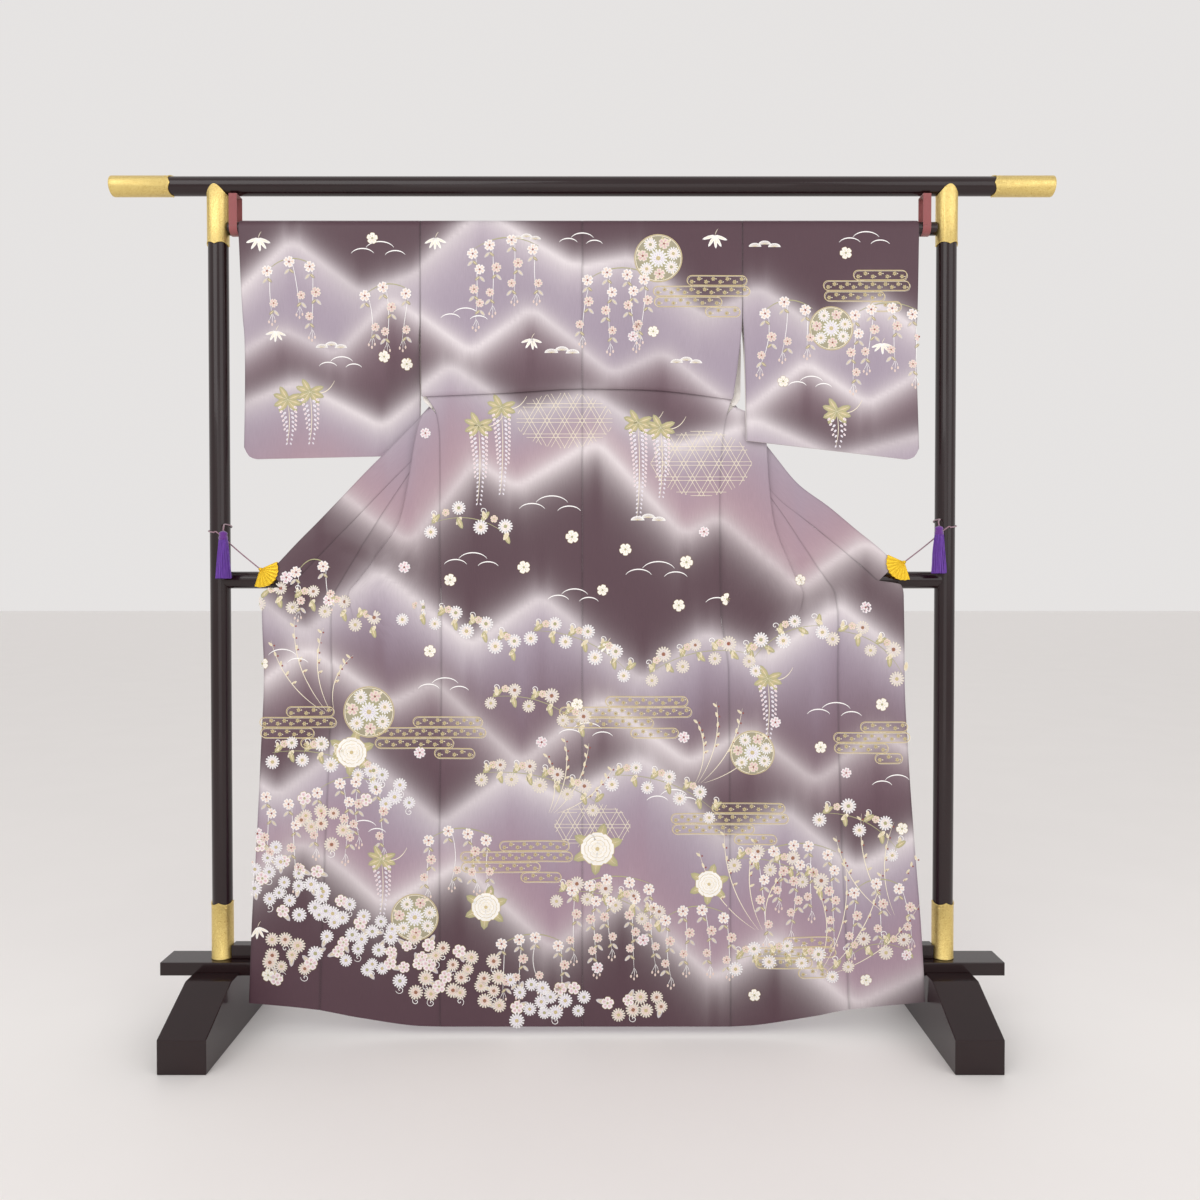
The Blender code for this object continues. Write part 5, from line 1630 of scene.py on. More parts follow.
NEAR_PLANTINGS = (
    Planting(
        Motif.WEEPING,
        (
            (-0.575, 1.525, 0.125, 3), (-0.385, 1.475, 0.110, 3), (-0.150, 1.565, 0.150, 4),
            (0.075, 1.505, 0.150, 4), (0.405, 1.440, 0.120, 3), (0.600, 1.435, 0.150, 4),
            (-0.455, 0.500, 0.150, 4), (-0.240, 0.400, 0.130, 4), (0.060, 0.305, 0.170, 5),
            (0.225, 0.245, 0.160, 4), (0.420, 0.370, 0.170, 5), (-0.100, 0.190, 0.110, 4),
            (-0.615, 0.470, 0.160, 3), (0.585, 0.300, 0.130, 3), (-0.530, 0.930, 0.090, 2),
        ),
    ),
    Planting(
        Motif.WISTERIA,
        (
            (-0.205, 1.200, 0.150), (-0.160, 1.235, 0.165), (0.110, 1.205, 0.180),
            (0.155, 1.195, 0.130), (-0.545, 1.270, 0.095), (-0.590, 1.255, 0.080),
            (0.500, 1.225, 0.062), (0.365, 0.700, 0.110), (-0.395, 0.345, 0.100),
        ),
    ),
    Planting(
        Motif.HILLS,
        (
            (-0.400, 1.550, 0.030), (-0.230, 1.420, 0.026), (0.560, 1.570, 0.028),
            (-0.060, 1.045, 0.034), (0.150, 0.915, 0.034), (-0.215, 0.935, 0.030),
            (0.300, 0.860, 0.030), (-0.015, 0.865, 0.028), (-0.590, 0.745, 0.030),
            (-0.270, 0.690, 0.028), (0.010, 0.600, 0.030), (0.500, 0.640, 0.030),
            (0.180, 0.470, 0.028), (-0.430, 0.410, 0.026), (0.620, 0.500, 0.026),
            (-0.480, 1.330, 0.024), (0.450, 1.285, 0.024), (0.000, 1.570, 0.024),
        ),
    ),
    Planting(
        Motif.CLOUD,
        (
            (0.235, 1.470, 0.190), (0.560, 1.480, 0.170), (-0.300, 0.600, 0.220),
            (0.085, 0.640, 0.260), (-0.130, 0.355, 0.220), (0.290, 0.430, 0.230),
            (-0.560, 0.620, 0.150), (0.570, 0.590, 0.150), (0.420, 0.165, 0.160),
        ),
    ),
    Planting(
        Motif.BALL,
        (
            (0.150, 1.535, 0.047), (0.490, 1.395, 0.043), (-0.420, 0.640, 0.050),
            (-0.330, 0.235, 0.046), (0.335, 0.560, 0.043),
        ),
    ),
    Planting(
        Motif.LATTICE,
        ((-0.035, 1.215, 0.190, 0.110), (0.235, 1.130, 0.200, 0.130), (0.020, 0.415, 0.150, 0.090)),
    ),
    Planting(
        Motif.BAMBOO,
        (
            (-0.640, 1.575, 0.026), (-0.290, 1.575, 0.024), (0.262, 1.580, 0.026),
            (-0.610, 1.395, 0.022), (-0.100, 1.375, 0.022), (0.590, 1.365, 0.022),
            (0.050, 0.775, 0.022), (-0.640, 0.215, 0.024),
        ),
    ),
    Planting(
        Motif.PINE,
        (
            (-0.500, 1.365, 0.020), (-0.040, 1.350, 0.022), (0.205, 1.330, 0.020),
            (-0.110, 1.575, 0.018), (0.360, 1.560, 0.020), (0.130, 1.020, 0.022),
        ),
    ),
    Planting(
        Motif.VINE,
        (
            (-0.640, 0.865, 0.230, -0.060, 8, 0), (-0.355, 0.835, 0.220, -0.075, 8, 1),
            (-0.100, 0.800, 0.190, -0.080, 7, 1), (0.130, 0.715, 0.200, 0.040, 7, 0),
            (0.330, 0.735, 0.140, 0.075, 5, 1), (0.500, 0.800, 0.130, -0.085, 5, 0),
            (-0.610, 0.560, 0.200, -0.050, 8, 1), (-0.200, 0.520, 0.230, -0.060, 9, 0),
            (0.060, 0.515, 0.200, -0.070, 7, 1), (0.300, 0.350, 0.170, -0.060, 6, 0),
            (0.470, 0.440, 0.150, -0.070, 5, 1), (-0.050, 0.285, 0.200, -0.060, 8, 0),
            (0.300, 0.150, 0.200, -0.020, 7, 1), (-0.300, 1.010, 0.150, -0.020, 4, 1),
            (0.520, 0.150, 0.120, 0.020, 4, 0), (-0.180, 0.670, 0.180, -0.060, 6, 0),
        ),
    ),
    Planting(
        Motif.GRASS,
        (
            (0.470, 0.120, 0.230, 0.070), (0.350, 0.210, 0.200, -0.050), (-0.060, 0.440, 0.150, 0.040),
            (0.610, 0.240, 0.200, -0.040), (-0.500, 0.640, 0.180, -0.050), (0.230, 0.500, 0.160, 0.050),
        ),
    ),
    Planting(
        Motif.DRIFT,
        (
            (-0.560, 0.345, 0.170, -0.50, 24, 1), (-0.420, 0.235, 0.200, -0.45, 30, 1),
            (-0.230, 0.160, 0.200, -0.35, 26, 0), (-0.050, 0.100, 0.170, -0.10, 16, 1),
            (-0.500, 0.440, 0.110, -0.60, 9, 0), (-0.370, 0.500, 0.100, -0.40, 8, 1),
            (0.120, 0.075, 0.130, 0.10, 8, 0), (-0.560, 0.180, 0.110, -0.30, 10, 0),
        ),
    ),
    Planting(
        Motif.PEONY,
        (
            (0.030, 0.370, 0.034), (-0.455, 0.560, 0.031), (0.250, 0.300, 0.027),
            (-0.190, 0.255, 0.029),
        ),
    ),
    Planting(
        Motif.PLUM,
        (
            (-0.020, 0.985, 0.0130), (0.085, 0.960, 0.0120), (-0.115, 0.925, 0.0125),
            (0.205, 0.935, 0.0130), (0.285, 0.862, 0.0120), (-0.260, 0.900, 0.0120),
            (-0.415, 1.575, 0.0110), (0.520, 1.545, 0.0120), (-0.395, 1.345, 0.0115),
            (-0.350, 1.330, 0.0120), (0.395, 1.290, 0.0110), (-0.630, 0.735, 0.0120),
            (0.590, 0.655, 0.0125), (0.140, 1.390, 0.0110), (0.040, 0.880, 0.0110),
            (-0.010, 0.655, 0.0120), (0.470, 0.570, 0.0115), (0.630, 0.410, 0.0120),
            (-0.300, 0.760, 0.0120), (0.190, 0.850, 0.0120), (-0.620, 0.120, 0.0125),
            (0.340, 0.080, 0.0120), (0.560, 0.110, 0.0115), (0.430, 0.900, 0.0110),
        ),
    ),
    Planting(
        Motif.CHERRY,
        (
            (-0.585, 0.905, 0.0130), (-0.500, 0.860, 0.0120), (0.560, 0.846, 0.0120),
            (0.240, 0.995, 0.0110), (-0.350, 0.925, 0.0120), (0.100, 1.380, 0.0110),
            (-0.320, 0.560, 0.0120), (0.200, 0.590, 0.0120), (0.520, 0.520, 0.0110),
            (-0.080, 0.580, 0.0120), (0.120, 0.190, 0.0125), (-0.640, 0.400, 0.0125),
            (0.380, 0.620, 0.0115), (0.640, 0.160, 0.0110), (0.030, 0.135, 0.0120),
            (-0.310, 1.190, 0.0110),
        ),
    ),
)

FAR_PLANTINGS = (
    Planting(
        Motif.WEEPING,
        (
            (-0.520, 1.520, 0.130, 4), (0.480, 1.500, 0.140, 4), (-0.230, 1.480, 0.120, 3),
            (0.240, 1.480, 0.120, 3),
        ),
    ),
    Planting(Motif.WISTERIA, ((-0.430, 1.290, 0.110), (0.550, 1.320, 0.110))),
    Planting(Motif.HILLS, ((-0.600, 1.300, 0.028), (0.400, 1.560, 0.026), (-0.400, 1.555, 0.026))),
    Planting(Motif.CLOUD, ((0.420, 1.360, 0.180), (-0.560, 1.400, 0.160))),
    Planting(
        Motif.PLUM,
        (
            (-0.620, 1.540, 0.012), (0.600, 1.240, 0.012), (-0.500, 1.220, 0.012),
            (0.420, 1.240, 0.012),
        ),
    ),
)


@dataclass
class Cover:
    """Which point of the dyed cloth shows at each place, seen from one side."""

    pieces: list[ClothPiece]
    way: int
    cell: float = 0.0045
    lift: float = 0.00028
    step: float = 0.00010
    lip: float = 0.0035
    reach: float = 0.02
    square_on: float = 0.80
    steepest: float = 0.25
    layer_gap: float = 0.0018
    points: Array = field(init=False)
    normals: Array = field(init=False)
    owner: Array = field(init=False)
    low: Array = field(init=False)
    shape: Array = field(init=False)
    nearest: Array = field(init=False)

    def __post_init__(self) -> None:
        """Keep, for each small square, the point that lies nearest to that side's viewer.

        A square without a point of its own, or with one of a deeper layer, takes its neighbour's.
        """
        shown = []
        for number, cloth in enumerate(self.pieces):
            points = cloth.outer.reshape(-1, 3)
            normals = cloth.normal.reshape(-1, 3)
            facing = normals[:, 1] * self.way > self.square_on
            owner = np.full(facing.sum(), number)
            shown.append((points[facing], normals[facing], owner))
        self.points, self.normals, self.owner = (np.concatenate(part) for part in zip(*shown))
        self.low = self.points[:, (0, 2)].min(axis=0) - self.cell * 2
        high = self.points[:, (0, 2)].max(axis=0) + self.cell * 3
        self.shape = np.ceil((high - self.low) / self.cell).astype(int)
        self.nearest = np.full(self.shape, -1)
        order = np.argsort(self.points[:, 1] * self.way)
        seat = self.square(self.points[order][:, (0, 2)])
        self.nearest[seat[:, 0], seat[:, 1]] = order
        for shift, axis in ((1, 0), (-1, 0), (1, 1), (-1, 1)):
            beside = np.roll(self.nearest, shift, axis=axis)
            ahead = (self.points[beside, 1] - self.points[self.nearest, 1]) * self.way
            nearer = (beside >= 0) & (ahead > self.layer_gap)
            self.nearest = np.where((self.nearest < 0) | nearer, beside, self.nearest)

    def square(self, flat: Array) -> Array:
        """Return the small square that each flat point lies in."""
        return np.clip(((flat - self.low) / self.cell).astype(int), 0, self.shape - 1)

    def depth(self, flat: Array, index: Array) -> Array:
        """Return the depth at flat points on the plane of the cloth's point that each one names.

        The plane's slope is held to a limit, so that a seam's rolled edge doesn't tip it.
        """
        near, normal = self.points[index], self.normals[index]
        slope = np.clip(normal[:, (0, 2)] / normal[:, 1:2], -self.steepest, self.steepest)
        return near[:, 1] - ((flat - near[:, (0, 2)]) * slope).sum(axis=1)

    def dress(self, flowers: Flowers, finish: bpy.types.Material, word: str) -> dict[int, bpy.types.Object]:
        """Lay the shapes on the cloth, one object for each cut piece that carries some.

        A point takes the depth of the cloth under it, unless that is another layer and the point
        is near its shape's middle: then it takes the depth of the cloth under that middle. Faces
        that a nearer layer covers are left out, and so is a shape that reaches past the cloth.

        Args:
            flowers: the flat shapes.
            finish: their material.
            word: the word that names this side's pieces.

        Returns:
            The new object of each cut piece, by the piece's number.
        """
        flat = np.concatenate(flowers.points)
        faces = np.concatenate(flowers.faces)
        colours = np.concatenate(flowers.colours)
        layers = np.concatenate(flowers.layers)
        shapes = np.concatenate(flowers.shapes)
        counts = np.bincount(shapes).astype(float)
        middle = np.stack([np.bincount(shapes, flat[:, axis]) / counts for axis in (0, 1)], axis=1)
        seat = self.square(middle)
        home = self.nearest[seat[:, 0], seat[:, 1]]
        seat = self.square(flat)
        under = self.nearest[seat[:, 0], seat[:, 1]]
        missing = np.bincount(shapes, under < 0) + (home < 0)
        kept = missing == 0
        centre = np.where(home < 0, 0, home)[shapes]
        own = np.where(under < 0, centre, under)
        level = self.depth(flat, centre)
        depth = self.depth(flat, own)
        rise = (level - depth) * self.way
        rise[np.hypot(*(flat - middle[shapes]).T) > self.reach] = 0
        depth = np.where(np.abs(rise) > self.lip, level, depth)
        depth = depth + self.way * (self.lift + self.step * layers)
        points = np.stack([flat[:, 0], depth, flat[:, 1]], axis=1)
        first, second, third = (points[faces[:, corner]] for corner in range(3))
        backward = np.cross(second - first, third - first)[:, 1] * self.way < 0
        faces[backward] = faces[backward][:, ::-1]
        owner = self.owner[np.where(home < 0, 0, home)][shapes[faces[:, 0]]]
        shown = kept[shapes[faces[:, 0]]] & ~(rise < -self.lip)[faces].all(axis=1)
        made = {}
        for number, cloth in enumerate(self.pieces):
            mine = faces[(owner == number) & shown]
            if len(mine) == 0:
                continue
            used, renumbered = np.unique(mine, return_inverse=True)
            name = f"{cloth.title}_{word}"
            renumbered = renumbered.reshape(-1, 3)
            piece = mesh_piece(name, points[used], renumbered, [finish], None, flat[used], colours[used])
            log.info("%s: %d faces", name, len(mine))
            made[number] = piece
        return made


@dataclass(frozen=True)
class ThreadFinish:
    """Painted and stitched flowers: the shapes' own colours, with a fine satin stitch."""

    name: str = "flower_thread"
    roughness: float = 0.42
    stitch: float = 1500.0

    def make(self) -> bpy.types.Material:
        """Build the material."""
        paint = Paint(self.name, self.roughness)
        paint.set("Sheen Weight", 0.2)
        paint.set("Sheen Roughness", 0.4)
        dye = paint.node("ShaderNodeAttribute", attribute_name="dye")
        threads = paint.noise(paint.place("UV", (self.stitch, 260.0, 1)), 1.0, 2.0)
        paint.shade(dye.outputs["Color"], paint.spread(threads, 0.86, 1.08))
        paint.bump((threads, 0.4, 0.0004))
        return paint.material


@dataclass
class Kimono:
    """The garment: eight cut pieces, and the flowers on them."""

    finishes: dict[str, bpy.types.Material]

    def build(self) -> None:
        """Make every cut piece, log it and lay the flowers on the pieces."""
        made = []
        for kind in (BodyPanel, OverlapPanel, Sleeve, CollarHalf):
            for side in Side:
                cloth = kind(side)
                piece = cloth.build(self.finishes)
                log.info("%s: %d faces", piece.name, len(piece.data.polygons))
                made.append((cloth, piece))
        clothes = [cloth for cloth, piece in made]
        for way, word, plantings in ((-1, "flowers", NEAR_PLANTINGS), (1, "far_flowers", FAR_PLANTINGS)):
            flowers = Flowers()
            for planting in plantings:
                planting.draw(flowers)
            Cover(clothes, way).dress(flowers, self.finishes["thread"], word)


@dataclass(frozen=True)
class LacquerFinish:
    """Black-brown gloss lacquer: a warm dark ground under a clear coat, with faint unevenness."""

    name: str = "lacquer"
    ground: Colour = (32, 17, 19)
    lighter: Colour = (40, 23, 25)
    coat: float = 0.30
    shine: float = 0.30

    def make(self) -> bpy.types.Material:
        """Build the material."""
        paint = Paint(self.name, 0.24)
        paint.set("Coat Weight", self.coat)
        paint.set("Specular IOR Level", self.shine)
        paint.set("Coat Roughness", 0.06)
        cloudy = paint.noise(paint.place("Object", (1, 1, 1)), 14.0, 4.0)
        paint.join(paint.blend(cloudy, self.ground, self.lighter), paint.shader.inputs["Base Color"])
        ripple = paint.noise(paint.place("Object", (1, 1, 1)), 60.0, 2.0)
        paint.bump((ripple, 0.10, 0.0006))
        return paint.material


@dataclass(frozen=True)
class GiltFinish:
    """Gilt metal with fine engraved scrolls, a little darker in the grooves."""

    name: str
    bright: Colour
    deep: Colour
    grain: float = 210.0
    roughness: float = 0.34
    depth: float = 0.5

    def make(self) -> bpy.types.Material:
        """Build the material."""
        paint = Paint(self.name, self.roughness, 0.85)
        here = paint.place("Object", (1, 1, 1))
        scrolls = paint.noise(here, self.grain, 1.0)
        bent = paint.node("ShaderNodeMath", operation="PINGPONG")
        bent.inputs[1].default_value = 0.06
        paint.join(scrolls, bent.inputs[0])
        lines = paint.node("ShaderNodeMapRange")
        lines.inputs["From Max"].default_value = 0.03
        paint.join(bent.outputs["Value"], lines.inputs["Value"])
        tone = paint.blend(lines.outputs["Result"], self.deep, self.bright)
        paint.join(tone, paint.shader.inputs["Base Color"])
        grain = paint.noise(here, 900.0, 2.0)
        paint.bump((lines.outputs["Result"], self.depth, 0.0003), (grain, 0.2, 0.0002))
        return paint.material


@dataclass(frozen=True)
class YarnFinish:
    """Yarn or tape: bands across a UV map whose first way runs round and second along, in metres."""

    name: str
    dark: Colour
    light: Colour
    bands: float
    slant: float
    relief: float = 0.0005
    sheen: float = 0.5

    def make(self) -> bpy.types.Material:
        """Build the material."""
        paint = Paint(self.name, 0.62)
        paint.set("Sheen Weight", self.sheen)
        turned_by = paint.place("UV", (self.slant, 1, 1))
        bands = paint.wave(turned_by, self.bands, "DIAGONAL" if self.slant else "Y")
        fibres = paint.noise(paint.place("UV", (1400, 160, 1)), 1.0, 2.0)
        tone = paint.node("ShaderNodeMath", operation="MULTIPLY")
        paint.join(bands, tone.inputs[0])
        paint.join(paint.spread(fibres, 0.6, 1.3), tone.inputs[1])
        colour = paint.blend(tone.outputs["Value"], self.dark, self.light)
        paint.join(colour, paint.shader.inputs["Base Color"])
        paint.bump((bands, 0.6, self.relief), (fibres, 0.4, 0.0003))
        return paint.material


@dataclass(frozen=True)
class TasselFinish:
    """Silk threads that hang: fine upright lines of lighter and darker purple."""

    name: str = "tassel_silk"
    dark: Colour = (58, 14, 112)
    light: Colour = (122, 56, 186)

    def make(self) -> bpy.types.Material:
        """Build the material."""
        paint = Paint(self.name, 0.42)
        paint.set("Sheen Weight", 0.6)
        paint.set("Sheen Tint", (0.75, 0.55, 1.0, 1))
        threads = paint.noise(paint.place("Object", (1500, 1500, 14)), 1.0, 2.0)
        colour = paint.blend(threads, self.dark, self.light)
        paint.join(colour, paint.shader.inputs["Base Color"])
        paint.bump((threads, 0.7, 0.0005))
        return paint.material


@dataclass(frozen=True)
class StandSizes:
    """Sizes of the stand and of what hangs on it."""

    post_x: float = 0.725
    post_radius: float = 0.0195
    beam_radius: float = 0.0185
    beam_height: float = 1.683
    beam_half_length: float = 0.933
    pole_radius: float = 0.013
    pole_half_length: float = 0.7035
    board_top: float = 0.141
    clearance: float = 0.0003
    fitting_wall: float = 0.0012
    cap_length: float = 0.122
    head_low: float = 1.563
    foot_top: float = 0.256
    tongue: float = 0.016
    scallop: float = 0.005
    strap_width: float = 0.016
    strap_wall: float = 0.0015
    cord_radius: float = 0.0014
    pivot_radius: float = 0.0035
    tassel_radius: float = 0.0085
    tassel_length: float = 0.078
    tassel_flare: float = 1.75
    tassel_neck: float = 0.018
    tassel_gap: float = 0.003

    @property
    def under_beam(self) -> float:
        """Return the height just under the beam."""
        return self.beam_height - self.beam_radius - self.clearance

    @property
    def on_board(self) -> float:
        """Return the height just above the base board."""
        return self.board_top + self.clearance

    @property
    def tassel_depth(self) -> float:
        """Return the depth that both tassels hang at, clear of the post's front."""
        return -(self.post_radius + self.tassel_radius * self.tassel_flare + self.tassel_gap)


STAND = StandSizes()

# Each fan clip's place and its tassel's, away from the centre, and each strap's.
CLIPS = Table(
    ("side", "x", "height", "tassel_x", "tassel_top", "strap_x"),
    ((-1, 0.636, 0.921, 0.704, 0.996, 0.6905), (1, 0.636, 0.935, 0.700, 1.006, 0.6815)),
)


def clip(side: Side, name: str) -> float:
    """Return one number of a side's clip."""
    return float(CLIPS.only("side", side.value, side.value).column(name)[0])


def tube_faces(index: Array, loop: bool = False) -> Array:
    """Return the triangles of rings of points.

    Args:
        index: the points' numbers, rings by points. The middles of both ends follow them.
        loop: whether the last ring joins the first, in place of a fan at each end.

    Returns:
        The triangles.
    """
    low = index if loop else index[:-1]
    high = np.roll(index, -1, axis=0) if loop else index[1:]
    beside = np.roll(low, -1, axis=1)
    over = np.roll(high, -1, axis=1)
    faces = [
        np.stack([low, beside, over], axis=2).reshape(-1, 3),
        np.stack([low, over, high], axis=2).reshape(-1, 3),
    ]
    if not loop:
        middle = np.full(index.shape[1], index.size)
        faces.append(np.stack([np.roll(index[0], -1), index[0], middle], axis=1))
        faces.append(np.stack([index[-1], np.roll(index[-1], -1), middle + 1], axis=1))
    return np.concatenate(faces)


def lathe(rings: tuple[tuple[Array | float, Array | float], ...], sides: int, loop: bool = False) -> Grid:
    """Turn a profile round the Z axis: each ring's radius and height, as numbers or one per side.

    The profile runs upwards on the outside. The ends are closed with fans, or the last ring joins
    the first.

    Args:
        rings: the profile.
        sides: how many sides a ring has.
        loop: whether the profile is a closed loop.

    Returns:
        The points and the triangles.
    """
    turn = ring_angles(sides)
    radius = np.array([np.broadcast_to(ring[0], sides) for ring in rings])
    height = np.array([np.broadcast_to(ring[1], sides) for ring in rings])
    points = np.stack([radius * np.sin(turn), -radius * np.cos(turn), height], axis=2)
    index = np.arange(len(rings) * sides).reshape(len(rings), sides)
    points = points.reshape(-1, 3)
    if not loop:
        middles = np.array([points[index[0]].mean(axis=0), points[index[-1]].mean(axis=0)])
        points = np.concatenate([points, middles])
    return points, tube_faces(index, loop)


def laid_along_x(points: Array) -> Array:
    """Turn points from the Z axis on to the X axis, with their front to the viewer."""
    return np.stack([points[:, 2], points[:, 1], -points[:, 0]], axis=1)


@dataclass
class Rods:
    """The round lacquered parts, turned finely: the beam, the pole and both posts."""

    finish: bpy.types.Material
    sides: int = 96
    edge: float = 0.001

    def rod(self, radius: float, low: float, high: float) -> Grid:
        """Return a rod along Z with softly rounded ends."""
        edge = self.edge
        profile = (
            (radius * 0.5, low),
            (radius - edge, low),
            (radius - edge * 0.3, low + edge * 0.3),
            (radius, low + edge),
            (radius, low + edge * 6),
            (radius, high - edge * 6),
            (radius, high - edge),
            (radius - edge * 0.3, high - edge * 0.3),
            (radius - edge, high),
            (radius * 0.5, high),
        )
        return lathe(profile, self.sides)

    def build(self) -> None:
        """Make the rods in place of the solids."""
        bars = (
            ("top_beam", STAND.beam_radius, STAND.beam_half_length, STAND.beam_height),
            ("hanging_pole", STAND.pole_radius, STAND.pole_half_length, SIZES.pole_height),
        )
        for name, radius, reach, height in bars:
            points, faces = self.rod(radius, -reach, reach)
            points = laid_along_x(points) + (0, 0, height)
            self.place(name, points, faces)
        for side in Side:
            points, faces = self.rod(STAND.post_radius, STAND.on_board, STAND.under_beam)
            self.place(f"post_{side.label}", points + (side.value * STAND.post_x, 0, 0), faces)

    def place(self, name: str, points: Array, faces: Array) -> None:
        """Put one rod in its solid's place."""
        piece = mesh_piece(f"{name}_lacquered", points, faces, [self.finish], sharp=60)
        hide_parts(name)
        log.info("%s: %d faces", piece.name, len(faces))


@dataclass
class Fittings:
    """The gilt caps and post fittings, with scalloped edges, raised rims and nail heads."""

    finish: bpy.types.Material
    sides: int = 96
    lip: float = 0.0005
    nail_inset: float = 0.012

    def scallops(self) -> Array:
        """Return the cut of a rim round the fitting: four lobes."""
        turn = ring_angles(self.sides)
        return STAND.scallop * np.abs(np.sin(turn * 2))

    def tongues(self) -> Array:
        """Return the rise of the head fitting's tongues, before and behind the beam."""
        turn = ring_angles(self.sides)
        return STAND.tongue * np.abs(np.cos(turn)) ** 3

    def sleeve(self, low: Array, high: Array) -> Grid:
        """Return a tube round a post, with a raised lip along both rims."""
        inside = STAND.post_radius + STAND.clearance
        outside = inside + STAND.fitting_wall
        lip = outside + self.lip
        profile = (
            (inside, low),
            (outside, low),
            (lip, low + 0.0006),
            (lip, low + 0.0018),
            (outside, low + 0.0026),
            (outside, high - 0.0026),
            (lip, high - 0.0018),
            (lip, high - 0.0006),
            (outside, high),
            (inside, high),
        )
        return lathe(profile, self.sides, loop=True)

    def cap(self) -> Grid:
        """Return a beam cap, its closed end at zero and its scalloped rim along Z."""
        inside = STAND.beam_radius + STAND.clearance
        outside = inside + STAND.fitting_wall
        end = STAND.fitting_wall + STAND.clearance
        rim = STAND.cap_length - self.scallops()
        lip = outside + self.lip
        profile = (
            (0.010, 0.0),
            (outside - 0.0014, 0.0),
            (outside - 0.0004, 0.0004),
            (outside, 0.0014),
            (outside, 0.0060),
            (outside, rim - 0.0026),
            (lip, rim - 0.0018),
            (lip, rim - 0.0006),
            (outside, rim),
            (inside, rim),
            (inside, end),
            (0.008, end),
        )
        return lathe(profile, self.sides)

    def nails(self, radius: float, level: float, turns: tuple[float, ...]) -> Grid:
        """Return small domed nail heads round a Z axis.

        Args:
            radius: how far their feet lie from the axis.
            level: their height.
            turns: their angles in degrees, from the viewer's side.

        Returns:
            The points and the triangles.
        """
        dome = ((0.0021, 0.0), (0.0019, 0.0005), (0.0012, 0.0010), (0.0004, 0.0012))
        local, faces = lathe(dome, 14)
        points, joined = [], []
        for order, turn in enumerate(np.radians(turns)):
            out = np.array([math.sin(turn), -math.cos(turn), 0])
            side = np.array([math.cos(turn), math.sin(turn), 0])
            up = np.array([0, 0, 1.0])
            place = out * (radius - 0.0002) + up * level
            points.append(place + local[:, :1] * side + local[:, 1:2] * up + local[:, 2:] * out)
            joined.append(faces + order * len(local))
        return np.concatenate(points), np.concatenate(joined)

    def build(self) -> None:
        """Make the caps and fittings in place of the solids."""
        outside = STAND.post_radius + STAND.clearance + STAND.fitting_wall
        inset = self.nail_inset
        tubes = {
            "head_fitting": (STAND.head_low + self.scallops(), STAND.under_beam + self.tongues(), inset),
            "foot_fitting": (np.full(self.sides, STAND.on_board), STAND.foot_top - self.scallops(), -inset),
        }
        for side in Side:
            for name, (low, high, shift) in tubes.items():
                level = (STAND.head_low if shift > 0 else STAND.foot_top) + shift
                nails = self.nails(outside, level, (-40, 40, 140, 220))
                at = (side.value * STAND.post_x, 0, 0)
                self.place(f"{name}_{side.label}", self.sleeve(low, high), nails, at)
            points, faces = self.cap()
            cap_outside = STAND.beam_radius + STAND.clearance + STAND.fitting_wall
            nails = self.nails(cap_outside, STAND.cap_length - inset, (-50, 50, 130, 230))
            end = STAND.beam_half_length + STAND.fitting_wall + STAND.clearance
            shells = []
            for shell, shell_faces in ((points, faces), nails):
                laid = laid_along_x(shell) - (end, 0, 0)
                if side is Side.RIGHT:
                    laid = laid * (-1, -1, 1)
                shells.append((laid + (0, 0, STAND.beam_height), shell_faces))
            self.place(f"beam_cap_{side.label}", shells[0], shells[1], (0, 0, 0))

    def place(self, name: str, shell: Grid, nails: Grid, at: Place) -> None:
        """Put one fitting and its nail heads in its solid's place."""
        points = np.concatenate([shell[0], nails[0]]) + at
        faces = np.concatenate([shell[1], nails[1] + len(shell[0])])
        piece = mesh_piece(f"{name}_gilt", points, faces, [self.finish], sharp=40)
        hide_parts(name)
        log.info("%s: %d faces", piece.name, len(faces))


@dataclass
class Base:
    """The blocky lacquered parts, the rail and the fan clips, which keep their solids' form."""

    lacquer: bpy.types.Material
    gilt: bpy.types.Material

    def build(self) -> None:
        """Give the kept solids their finishes."""
        kept = {"middle_rail": self.lacquer, "base_board": self.lacquer, "stretcher": self.lacquer}
        for side in Side:
            kept[f"foot_{side.label}"] = self.lacquer
            kept[f"fan_clip_{side.label}"] = self.gilt
        for name, finish in kept.items():
            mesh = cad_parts[name].data
            mesh.materials.clear()
            mesh.materials.append(finish)
            log.info("%s: finished", name)


